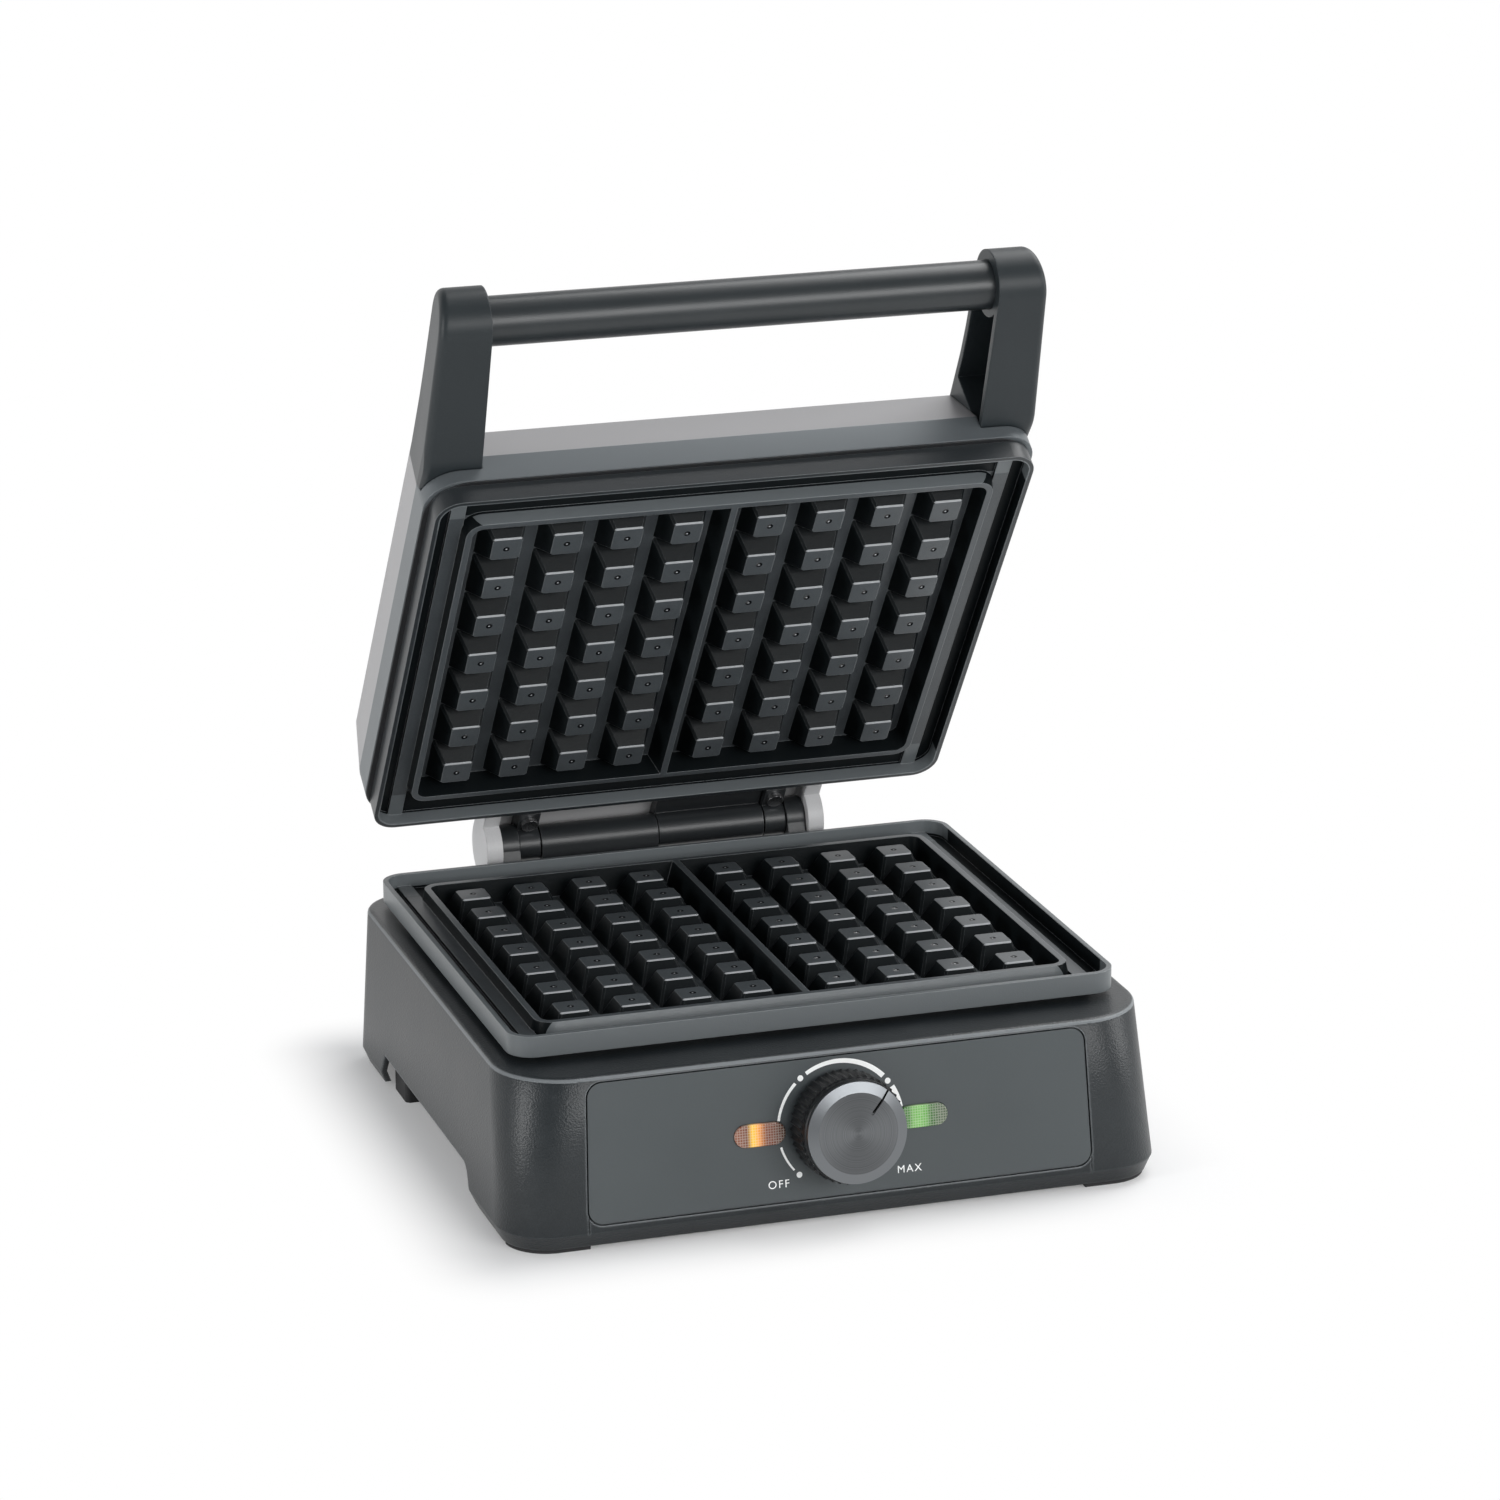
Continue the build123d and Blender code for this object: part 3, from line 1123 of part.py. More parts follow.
def lid_shell():
    """Painted cover of the lid with posts inside and screw holes in its rear."""
    form = lid_form(0)
    form = fillet(form.faces().sort_by(Axis.Z)[-1].edges(), LID_TOP_ROUND)
    body = form - lid_form(LID_WALL)
    for x, y in corners(FRAME_POST_X, FRAME_POST_Y):
        body += rod_z(FRAME_POST_R, FRAME_TOP_Z + TOUCH, LID_TOP_Z - 1, x, y) & form
    for side in (-1, 1):
        body += rod_z(TONGUE_POST_R, TONGUE_HIGH_Z + TOUCH, LID_TOP_Z - 1, side * TONGUE_SCREW_X,
                      TONGUE_SCREW_Y) & form
    for notch in both_sides(arm_notch()):
        body -= notch
    for x, y in corners(FRAME_POST_X, FRAME_POST_Y):
        body -= rod_z(SCREW_R + RUN_FIT, FRAME_TOP_Z - 1, FRAME_TOP_Z + 11, x, y)
    for side in (-1, 1):
        body -= rod_z(SCREW_R + RUN_FIT, TONGUE_HIGH_Z - 1, TONGUE_HIGH_Z + 7, side * TONGUE_SCREW_X,
                      TONGUE_SCREW_Y)
    for x in COVER_SCREW_X:
        body -= rod_y(SCREW_R + HOLE_GAP, LID_HALF_Y - LID_WALL - 1, LID_HALF_Y + 1, x, COVER_SCREW_Z)
    return body


def lid_frame():
    """Black ring that closes the lid round the upper plate."""
    inner_x = LID_HALF_X - LID_WALL - FRAME_FIT
    inner_y = LID_HALF_Y - LID_WALL - FRAME_FIT
    inner_r = LID_R_REAR - LID_WALL
    lip_x = LID_HALF_X - FRAME_LIP
    lip_y = LID_HALF_Y - FRAME_LIP
    lip_top = LID_LIP_Z - TOUCH
    body = slab(inner_x, inner_y, inner_r, FRAME_LOW_Z, FRAME_TOP_Z)
    body += slab(lip_x, lip_y, LID_R_REAR, FRAME_LOW_Z, lip_top)
    body -= slab(SEAT_IN_X, SEAT_IN_Y, RIDGE_R, 0, FRAME_TOP_Z + 1)
    for x, y in corners(FRAME_POST_X, FRAME_POST_Y):
        body -= rod_z(SCREW_R + HOLE_GAP, FRAME_LOW_Z - 1, FRAME_TOP_Z + 1, x, y)
        body -= rod_z(SCREW_HEAD_R + HOLE_GAP, FRAME_LOW_Z - 1, FRAME_LOW_Z + SCREW_HEAD_H + TOUCH,
                      x, y)
    return body


def frame_screws():
    """Screws that hold frame and shell together, sunk under the plate rim."""
    low = FRAME_LOW_Z + SCREW_HEAD_H
    return [Pos(x, y, low) * pan_screw(10.0) for x, y in corners(FRAME_POST_X, FRAME_POST_Y)]


# Build all pieces, set them in place and write them out

block = housing_block()

base = {
    "base_housing": [housing()],
    "plate_seat": [plate_seat()],
    "lower_plate": [baking_plate()],
    "lower_heater": [heater()],
    "lower_heater_clips": heater_clips(),
    "lower_reflector": [reflector(DECK_Z - DECK_THICK - TOUCH, PAN_FLANGE_X)],
    "lower_plate_screws": plate_screws(),
    "lower_thermal_fuse": [thermal_fuse()],
    "bottom_cover": [bottom_cover()],
    "cover_screws": cover_screws(),
    "front_feet": front_feet(),
    "rear_feet": rear_feet(),
    "front_panel": [front_panel()],
    "lens_orange": [lens(-1)],
    "lens_green": [lens(1)],
    "indicator_lamps": lamps(),
    "control_bracket": [control_bracket()],
    "control_bracket_screws": bracket_fixings(),
    "control_body": [control_body()],
    "terminal_block": [terminal_block()],
    "cord_gland": [cord_gland()],
    "hinge_bracket": [hinge_bracket(block)],
    "hinge_bracket_screws": bracket_screws(),
    "hinge_barrel_left": [hinge_barrel_left()],
    "hinge_pin": [hinge_pin()],
    "knob_shaft": [knob_shaft()],
    "knob_skirt": [knob_skirt()],
    "knob_face": [knob_face()],
}

arm_right = handle_arm()

lid = {
    "lid_shell": [lid_shell()],
    "lid_frame": [lid_frame()],
    "lid_frame_screws": frame_screws(),
    "upper_plate": [flip(baking_plate())],
    "upper_heater": [flip(heater())],
    "upper_heater_clips": [flip(clip) for clip in heater_clips()],
    "upper_reflector": [flip(reflector(-FRAME_TOP_Z - TOUCH, LID_PAN_FLANGE_X))],
    "upper_plate_screws": [flip(screw) for screw in plate_screws()],
    "upper_thermal_fuse": [flip(thermal_fuse())],
    "handle_arm_right": [arm_right],
    "handle_arm_left": [mirror(arm_right, about=Plane.YZ)],
    "handle_tube": [handle_tube()],
    "handle_screws": handle_screws(),
    "hinge_cover": [hinge_cover()],
    "hinge_cover_screws": cover_fixings(),
    "hinge_knuckles": hinge_knuckles(),
    "hinge_barrel_right": [hinge_barrel_right()],
    "hinge_screws": hinge_screws(),
}

to_hinge = Pos(0, HINGE_Y, HINGE_Z)
from_hinge = Pos(0, -HINGE_Y, -HINGE_Z)
open_lid = to_hinge * Rot(-LID_OPEN, 0, 0) * from_hinge

placed = {}
for name, solids in base.items():
    placed[name] = Compound([solid for piece in solids for solid in piece.solids()])
for name, solids in lid.items():
    placed[name] = Compound([open_lid * solid for piece in solids for solid in piece.solids()])

box = Compound(list(placed.values())).bounding_box()
shift_y = -(box.min.Y + box.max.Y) / 2
stand = Pos(0, shift_y, TABLE_DROP)

os.makedirs("parts", exist_ok=True)
for name, shape in placed.items():
    done = stand * shape
    export_step(done, "parts/" + name + ".step")
    print(name, len(done.solids()), "solids", round(done.volume / 1000, 2), "cm3")

print("size", box.size)
print("shift y", shift_y)
print("hinge axis at", (0, HINGE_Y + shift_y, HINGE_Z + TABLE_DROP))
print("knob axis at", (0, FACE_Y + shift_y, KNOB_Z + TABLE_DROP), "pointing", FACE_OUT)
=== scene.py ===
# %% [markdown]
# # A belgian waffle maker in Blender
# The solid shape of the maker comes ready from CAD as a fixed frame. This script gives
# every piece its look, adds the small things that only the eye needs, such as the printed
# scale, lights it softly on a pale floor and sets up the camera.
# Everything is in metres: X to the right, Y to the back, Z up, feet at Z = 0.

# %% Load the frame
import bpy
import json
from math import radians, degrees, sin, cos, atan2, pi
from mathutils import Matrix, Vector


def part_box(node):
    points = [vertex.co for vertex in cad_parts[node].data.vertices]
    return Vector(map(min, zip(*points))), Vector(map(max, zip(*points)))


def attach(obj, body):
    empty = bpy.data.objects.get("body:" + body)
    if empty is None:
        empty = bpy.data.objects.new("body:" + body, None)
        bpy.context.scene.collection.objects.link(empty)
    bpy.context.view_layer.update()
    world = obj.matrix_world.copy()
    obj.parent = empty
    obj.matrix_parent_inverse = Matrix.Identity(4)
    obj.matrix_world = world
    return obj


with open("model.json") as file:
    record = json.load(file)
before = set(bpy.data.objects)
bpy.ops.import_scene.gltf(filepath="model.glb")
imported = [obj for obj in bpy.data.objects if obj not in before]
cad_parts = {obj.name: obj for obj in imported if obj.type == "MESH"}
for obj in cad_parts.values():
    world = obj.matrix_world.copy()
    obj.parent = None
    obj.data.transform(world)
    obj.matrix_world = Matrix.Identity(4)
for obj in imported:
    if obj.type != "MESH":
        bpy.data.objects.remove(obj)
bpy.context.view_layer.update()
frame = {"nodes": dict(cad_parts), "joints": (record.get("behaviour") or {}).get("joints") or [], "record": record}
nodes = frame["nodes"]
mm = 0.001
print("pieces from CAD:", len(nodes))

# %% [markdown]
# ## Where the moving parts turn
# The joints give the hinge axis and the knob axis. The hinge lies on the level where the two
# baking plates meet, so the middle of each plate follows from it: the lower one stands still,
# the upper one is turned with the lid.

# %% Read the joints
joints = {joint["name"]: joint for joint in frame["joints"]}
hinge_at = Vector(joints["lid_hinge"]["pos_m"])
knob_at = Vector(joints["knob_turn"]["pos_m"])
knob_out = Vector(joints["knob_turn"]["axis"]).normalized()
lid_open = radians(54.19)
HINGE_BEHIND = 121 * mm

to_hinge = Matrix.Translation(hinge_at)
lid_turn = to_hinge @ Matrix.Rotation(-lid_open, 4, "X") @ Matrix.Translation(-hinge_at)
lower_middle = Matrix.Translation((0, hinge_at.y - HINGE_BEHIND, hinge_at.z))
upper_middle = lid_turn @ lower_middle
print("plates meet at height, mm:", round(hinge_at.z / mm, 2))

# %% [markdown]
# The front face leans back a little, and the knob stands square on it. Three axes made from
# the knob's own axis give flat coordinates on that face: X right, Y up the face, Z out of it.

# %% Axes of the front face
face_x = Vector((1, 0, 0))
face_up = knob_out.cross(face_x).normalized()
face_matrix = Matrix((face_x, face_up, knob_out)).transposed().to_4x4()
face_matrix.translation = knob_at
print("front face leans back, degrees:", round(degrees(atan2(knob_out.z, -knob_out.y)), 2))

# %% [markdown]
# ## Markers
# A finish often has to know where on the maker it is. An empty can lend its axes to a
# material, and because it rides with its body, the finish stays in place when the lid opens
# or the knob turns.

# %% Place the markers
def marker(name, matrix, body):
    """An empty that rides with a body and lends its axes to materials."""
    empty = bpy.data.objects.new(name, None)
    bpy.context.collection.objects.link(empty)
    empty.matrix_world = matrix
    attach(empty, body)
    return empty


front_face = marker("front face", face_matrix, "base")
lower_marker = marker("lower middle", lower_middle, "base")
upper_marker = marker("upper middle", upper_middle, "lid")
knob_marker = marker("knob centre", face_matrix, "knob")
print("markers: front face, lower middle, upper middle, knob centre")

# %% [markdown]
# ## Short ways to write nodes
# A material is a little machine of nodes. A few helpers keep it readable. The first two add
# a node and fill a socket, from a plain number or from another node.

# %% Add a node and feed a socket
def put(tree, kind, values=None, **options):
    """Add a node, choose its options and fill in its free sockets."""
    node = tree.nodes.new("ShaderNode" + kind)
    for key, value in options.items():
        setattr(node, key, value)
    for key, value in (values or {}).items():
        node.inputs[key].default_value = value
    return node


def feed(tree, value, socket):
    """Set a socket from a number or colour, or link it to another socket."""
    if isinstance(value, bpy.types.NodeSocket):
        tree.links.new(value, socket)
    else:
        socket.default_value = value


# %% [markdown]
# The next ones are steps of arithmetic, on numbers and on vectors. Most of them make masks,
# numbers from 0 to 1 that say how much of something a spot gets.

# %% Arithmetic with sockets
def calc(tree, operation, a, b=None, c=None, clamp=False):
    """One step of arithmetic; hands back the socket with the answer."""
    node = put(tree, "Math", operation=operation, use_clamp=clamp)
    for value, socket in zip((a, b, c), node.inputs):
        if value is not None:
            feed(tree, value, socket)
    return node.outputs[0]


def vector_calc(tree, operation, a, b=None):
    """One step with vectors; a length or a dot product comes back as a number."""
    node = put(tree, "VectorMath", operation=operation)
    feed(tree, a, node.inputs[0])
    if b is not None:
        feed(tree, b, node.inputs[1])
    return node.outputs["Value" if operation in ("LENGTH", "DOT_PRODUCT") else "Vector"]


def ease(tree, value, start, end):
    """Rise smoothly from 0 to 1 while the value goes from start to end."""
    node = put(tree, "MapRange", {"From Min": start, "From Max": end},
               interpolation_type="SMOOTHSTEP")
    feed(tree, value, node.inputs["Value"])
    return node.outputs["Result"]


def ranged(tree, mask, at_zero, at_one):
    """Turn a mask into a number between two values."""
    node = put(tree, "MapRange", {"To Min": at_zero, "To Max": at_one})
    feed(tree, mask, node.inputs["Value"])
    return node.outputs["Result"]


# %% [markdown]
# The last ones split and join coordinates, read them in a marker's axes, and mix two colours
# or two whole shaders.

# %% Coordinates and mixing
def parts_of(tree, vector):
    """The X, Y and Z of a vector socket."""
    node = put(tree, "SeparateXYZ")
    feed(tree, vector, node.inputs[0])
    return node.outputs["X"], node.outputs["Y"], node.outputs["Z"]


def flat_length(tree, x, y):
    """How long the flat arrow with the parts x and y is."""
    node = put(tree, "CombineXYZ")
    feed(tree, x, node.inputs["X"])
    feed(tree, y, node.inputs["Y"])
    return vector_calc(tree, "LENGTH", node.outputs[0])


def place_in(tree, empty):
    """Where the shaded spot is, in the axes of a marker."""
    return put(tree, "TexCoord", object=empty).outputs["Object"]


def mixed(tree, amount, a, b):
    """Mix two colours."""
    node = put(tree, "Mix", data_type="RGBA")
    for value, number in ((amount, 0), (a, 6), (b, 7)):
        feed(tree, value, node.inputs[number])
    return node.outputs[2]


def mixed_shaders(tree, amount, a, b):
    """Mix two shader nodes."""
    node = put(tree, "MixShader")
    for value, number in ((amount, 0), (a.outputs[0], 1), (b.outputs[0], 2)):
        feed(tree, value, node.inputs[number])
    return node.outputs[0]


# %% [markdown]
# ## Groups and materials
# An effect that several finishes share is a node group, built once, with named sockets.
# A group gives only numbers, colours and normals. The shader itself stays in each material,
# where a learner can see it.

# %% Start a group or a material
FLOAT = "NodeSocketFloat"
COLOUR = "NodeSocketColor"
VECTOR = "NodeSocketVector"


def new_group(name, inputs, outputs):
    """Make a shader node group with the given sockets and hand back its parts."""
    group = bpy.data.node_groups.new(name, "ShaderNodeTree")
    for label, kind, value in inputs:
        socket = group.interface.new_socket(label, in_out="INPUT", socket_type=kind)
        if value is not None:
            socket.default_value = value
    for label, kind in outputs:
        group.interface.new_socket(label, in_out="OUTPUT", socket_type=kind)
    return group, group.nodes.new("NodeGroupInput"), group.nodes.new("NodeGroupOutput")


def new_material(name):
    """An empty material with its shader."""
    material = bpy.data.materials.new(name)
    material.use_nodes = True
    return material, material.node_tree, material.node_tree.nodes["Principled BSDF"]


# %% [markdown]
# Moulded plastic and sprayed paint are never one even colour. The first group mixes two
# close tones with a slow cloudy noise and a fine one, measured in real millimetres. A noise
# texture counts its waves per metre, so the size in millimetres is turned round first.

# %% Group: two tones
PER_METRE = 1000.0

tone_group, first, last = new_group(
    "two tones",
    [("Tone A", COLOUR, None), ("Tone B", COLOUR, None), ("Cloud mm", FLOAT, 40.0),
     ("Fine mm", FLOAT, 0.6)],
    [("Color", COLOUR), ("Mask", FLOAT)])
on_piece = put(tone_group, "TexCoord").outputs["Object"]
noises = []
for label, detail in (("Cloud mm", 3.0), ("Fine mm", 2.0)):
    noise = put(tone_group, "TexNoise", {"Detail": detail})
    feed(tone_group, calc(tone_group, "DIVIDE", PER_METRE, first.outputs[label]),
         noise.inputs["Scale"])
    feed(tone_group, on_piece, noise.inputs["Vector"])
    noises.append(noise.outputs["Fac"])
contrast = put(tone_group, "MapRange", {"From Min": 0.7, "From Max": 1.3})
feed(tone_group, calc(tone_group, "ADD", *noises), contrast.inputs["Value"])
tone_mask = contrast.outputs["Result"]
feed(tone_group, mixed(tone_group, tone_mask, first.outputs["Tone A"], first.outputs["Tone B"]),
     last.inputs["Color"])
feed(tone_group, tone_mask, last.inputs["Mask"])
print("group ready:", tone_group.name)

# %% [markdown]
# The housing has the fine pebbled grain of etched moulding tools. A smooth Voronoi texture
# gives the pebbles, and a Bevel node rounds the edges of the piece in the light without
# changing its mesh. Where the rounded normal leaves the flat one there is an edge, so the
# same node also says where the edges are, which the finishes paint lighter as a highlight.

# %% Group: grain and soft edges
grain_group, first, last = new_group(
    "grain and soft edge",
    [("Cell mm", FLOAT, 1.0), ("Depth mm", FLOAT, 0.03), ("Edge mm", FLOAT, 0.5)],
    [("Normal", VECTOR), ("Edge", FLOAT)])
cells = put(grain_group, "TexVoronoi", {"Smoothness": 0.6}, feature="SMOOTH_F1")
feed(grain_group, calc(grain_group, "DIVIDE", PER_METRE, first.outputs["Cell mm"]),
     cells.inputs["Scale"])
feed(grain_group, put(grain_group, "TexCoord").outputs["Object"], cells.inputs["Vector"])
rounded = put(grain_group, "Bevel", samples=6)
feed(grain_group, calc(grain_group, "MULTIPLY", first.outputs["Edge mm"], mm),
     rounded.inputs["Radius"])
pebbles = put(grain_group, "Bump", {"Strength": 1.0})
feed(grain_group, calc(grain_group, "MULTIPLY", first.outputs["Depth mm"], mm),
     pebbles.inputs["Distance"])
feed(grain_group, cells.outputs["Distance"], pebbles.inputs["Height"])
feed(grain_group, rounded.outputs["Normal"], pebbles.inputs["Normal"])
feed(grain_group, pebbles.outputs["Normal"], last.inputs["Normal"])
flat_normal = put(grain_group, "NewGeometry").outputs["Normal"]
same_way = vector_calc(grain_group, "DOT_PRODUCT", flat_normal, rounded.outputs["Normal"])
feed(grain_group, ease(grain_group, same_way, 0.98, 0.80), last.inputs["Edge"])
print("group ready:", grain_group.name)

# %% [markdown]
# ## What the big walls of the housing do in the light
# A moulded wall is never quite flat: it crowns outward, so its tone slides from top to
# bottom. A bump whose height falls with the square of the distance from the middle gives
# that slow slide, and leaves the mesh alone. The long rounding between the front and the
# deck gets a pale grainy band painted on as a highlight, where the light catches it. The
# piece's own normal tells where it is: between facing forward and facing up.

# %% Crowned walls and the painted highlight on the rounding
CROWN = 5.5
HIGHLIGHT_BAND_LOW = (0.17, 0.36)
HIGHLIGHT_BAND_HIGH = (0.88, 0.66)


def crowned(tree, normal):
    """Let a flat wall look slightly domed from top to bottom."""
    up_face = parts_of(tree, place_in(tree, front_face))[1]
    square = calc(tree, "POWER", calc(tree, "ABSOLUTE", up_face), 2.0)
    dome = put(tree, "Bump", {"Strength": 1.0, "Distance": CROWN}, invert=True)
    feed(tree, square, dome.inputs["Height"])
    feed(tree, normal, dome.inputs["Normal"])
    return dome.outputs["Normal"]


def rounding_highlight(tree):
    """1 where the surface turns over from upright to level; there the highlight is painted."""
    facing_up = parts_of(tree, put(tree, "TexCoord").outputs["Normal"])[2]
    return calc(tree, "MULTIPLY", ease(tree, facing_up, *HIGHLIGHT_BAND_LOW),
                ease(tree, facing_up, *HIGHLIGHT_BAND_HIGH))


# %% [markdown]
# ## One recipe for plastics, paints and castings
# All these finishes share a recipe: two tones, grain, soft edges painted lighter as a highlight,
# and a roughness that varies a little. Only the numbers differ, so one function makes them.
# Sizes in the recipe are millimetres: cell is the width of a pebble of the grain, depth its
# height, and edge the radius of a rounded edge.

# %% The recipe
CLOUD_MM = 40.0
FINEST_MM = 0.4
ROUGH_VARY = 0.06
HIGHLIGHT_GAIN = 3
HIGHLIGHT_LIFT = 0.06


def grained(name, tone_a, tone_b, rough, cell, depth, edge, metal=0.0, shine=0.5, edge_highlight=0.0,
            housing=False):
    """Make a material with two tones, a grain, softened edges and a painted highlight on them."""
    material, tree, shader = new_material(name)
    tones = put(tree, "Group", {"Tone A": (*tone_a, 1), "Tone B": (*tone_b, 1),
                                "Cloud mm": CLOUD_MM, "Fine mm": max(FINEST_MM, cell * 0.6)},
                node_tree=tone_group)
    grain = put(tree, "Group", {"Cell mm": cell, "Depth mm": depth, "Edge mm": edge},
                node_tree=grain_group)
    # Painted highlight: the edges are mixed towards a lighter tone.
    pale = calc(tree, "MULTIPLY", grain.outputs["Edge"], edge_highlight)
    normal = grain.outputs["Normal"]
    lift = HIGHLIGHT_LIFT
    if housing:
        # On the housing the rounding between front and deck is painted pale as a highlight.
        pale = calc(tree, "MAXIMUM", pale, rounding_highlight(tree))
        normal = crowned(tree, normal)
        lift = 2 * HIGHLIGHT_LIFT
    highlight_tone = (*[min(1.0, HIGHLIGHT_GAIN * value + lift) for value in tone_b], 1)
    feed(tree, mixed(tree, pale, tones.outputs["Color"], highlight_tone), shader.inputs["Base Color"])
    feed(tree, ranged(tree, tones.outputs["Mask"], rough - ROUGH_VARY / 2, rough + ROUGH_VARY / 2),
         shader.inputs["Roughness"])
    feed(tree, normal, shader.inputs["Normal"])
    shader.inputs["Metallic"].default_value = metal
    shader.inputs["Specular IOR Level"].default_value = shine
    return material


# %% [markdown]
# ## The plastics and the rubber
# Colours are linear values. The housing is charcoal with a visible grain, the panel smooth
# slate, the handle satin charcoal. The knob's skirt and the ring under the plate are black,
# and the feet are dull rubber.

# %% Finishes of the outside plastics
finishes = {
    # Housing, hinge, handle and seat get their edges painted lighter as a highlight.
    "housing_plastic": grained("charcoal housing", (0.009, 0.012, 0.014), (0.022, 0.027, 0.030),
                               rough=0.36, cell=0.7, depth=0.09, edge=1.6, edge_highlight=1.0,
                               shine=0.40, housing=True),
    "panel_plastic": grained("slate panel", (0.050, 0.060, 0.064), (0.057, 0.067, 0.071),
                             rough=0.42, cell=0.5, depth=0.004, edge=0.4),
    "hinge_plastic": grained("black hinge plastic", (0.016, 0.018, 0.020), (0.024, 0.027, 0.029),
                             rough=0.36, cell=0.7, depth=0.01, edge=0.6, edge_highlight=0.3),
    "handle_plastic": grained("charcoal handle", (0.017, 0.022, 0.025), (0.022, 0.028, 0.031),
                              rough=0.42, cell=0.5, depth=0.012, edge=0.9, edge_highlight=0.2,
                              shine=0.35),
    "seat_plastic": grained("heat proof black", (0.010, 0.011, 0.012), (0.015, 0.016, 0.018),
                            rough=0.40, cell=0.8, depth=0.015, edge=0.4, edge_highlight=0.3),
    "knob_plastic": grained("black knob", (0.006, 0.007, 0.008), (0.010, 0.011, 0.012),
                            rough=0.36, cell=0.5, depth=0.006, edge=0.3, shine=0.25),
    "rubber": grained("rubber", (0.012, 0.012, 0.013), (0.018, 0.018, 0.019),
                      rough=0.75, cell=0.6, depth=0.02, edge=0.5),
}
print("plastics:", len(finishes))

# %% [markdown]
# ## The paints
# The lid is silver grey paint with a little metal in it, and the handle tube has a dark
# powder coat that shines more than the arms do.

# %% Finishes of the painted pieces
finishes.update({
    "lid_paint": grained("silver grey lid", (0.305, 0.300, 0.307), (0.338, 0.333, 0.340),
                         rough=0.40, cell=0.5, depth=0.006, edge=0.8, metal=0.25),
    "tube_paint": grained("powder coat on tube", (0.013, 0.017, 0.019), (0.018, 0.023, 0.026),
                          rough=0.36, cell=0.4, depth=0.01, edge=0.3, shine=0.6),
})
print("with paints:", len(finishes))

# %% [markdown]
# ## The inside
# Few people see the heating elements, the reflector pans, the fuses and the terminals, but
# an opened maker should still look like one: bare steels, glazed ceramic and plain mouldings.

# %% Finishes of the inner pieces
finishes.update({
    "element_steel": grained("annealed steel", (0.32, 0.30, 0.28), (0.42, 0.40, 0.38),
                             rough=0.38, cell=1.2, depth=0.01, edge=0.3, metal=1.0),
    "sheet_steel": grained("pressed sheet steel", (0.52, 0.52, 0.53), (0.60, 0.60, 0.60),
                           rough=0.30, cell=1.5, depth=0.008, edge=0.3, metal=1.0),
    "screw_steel": grained("zinc plated screws", (0.40, 0.40, 0.41), (0.50, 0.50, 0.51),
                           rough=0.28, cell=0.8, depth=0.006, edge=0.2, metal=1.0),
    "pin_steel": grained("ground steel", (0.46, 0.46, 0.47), (0.54, 0.54, 0.55),
                         rough=0.22, cell=0.7, depth=0.004, edge=0.2, metal=1.0),
    "fuse_ceramic": grained("glazed ceramic", (0.66, 0.63, 0.57), (0.74, 0.71, 0.65),
                            rough=0.25, cell=1.0, depth=0.005, edge=0.2),
    "control_plastic": grained("brown moulding", (0.10, 0.07, 0.05), (0.13, 0.095, 0.065),
                               rough=0.40, cell=0.8, depth=0.01, edge=0.3),
    "terminal_plastic": grained("natural moulding", (0.62, 0.61, 0.57), (0.70, 0.69, 0.65),
                                rough=0.45, cell=0.8, depth=0.01, edge=0.3),
    "lamp_glass": grained("lamp glass", (0.75, 0.60, 0.42), (0.85, 0.70, 0.52),
                          rough=0.08, cell=2.0, depth=0.0, edge=0.1),
})
print("with the inside:", len(finishes))

# %% [markdown]
# ## Painted shade and highlight on the lid
# The lid is a wide low box with an upright band below and a sloping roof above. The band
# is painted a bluer, darker grey than the roof as shade, because it faces less towards the
# light from above. The material tells them apart by the height over the baking level,
# measured in the lid's own axes. The cover over the hinge is painted paler than both, as a
# highlight where it sits in the lid's shade.

# %% Lid shell and hinge cover
BAND_TOP = 20.6 * mm
BAND_SHADE_GREY = (0.122, 0.137, 0.146, 1)

lid_with_painted_shade = finishes["lid_paint"].copy()
lid_with_painted_shade.name = "lid with darker band"
tree = lid_with_painted_shade.node_tree
shader = tree.nodes["Principled BSDF"]
over_plate = parts_of(tree, place_in(tree, upper_marker))[2]
roof_tone = shader.inputs["Base Color"].links[0].from_socket
# Painted shade: below the band's top the lid is mixed to a darker, bluer grey.
feed(tree, mixed(tree, calc(tree, "LESS_THAN", over_plate, BAND_TOP), roof_tone, BAND_SHADE_GREY),
     shader.inputs["Base Color"])
own_finish = {
    "lid_shell": lid_with_painted_shade,
    # The hinge cover is painted paler than the lid paint, as a highlight where it sits in the lid's shade.
    "hinge_cover": grained("pale grey hinge cover", (0.50, 0.50, 0.505), (0.56, 0.56, 0.565),
                           rough=0.45, cell=0.5, depth=0.006, edge=0.8),
}
print("band of the lid ends at, mm:", round(BAND_TOP / mm, 1))

# %% [markdown]
# ## The non-stick plates: finding the pegs
# Each peg has a small dimple in the middle of its top, painted dark as shade with a painted
# highlight dot in its middle, and a bright line painted on its front edge as a highlight. The
# pegs stand in a regular grid, so wrapping the coordinates at the pitch turns the whole plate
# into one peg: one mask then draws all the dimples at once.
# Left and right of the divider the plate is mirrored, hence the absolute value of X.

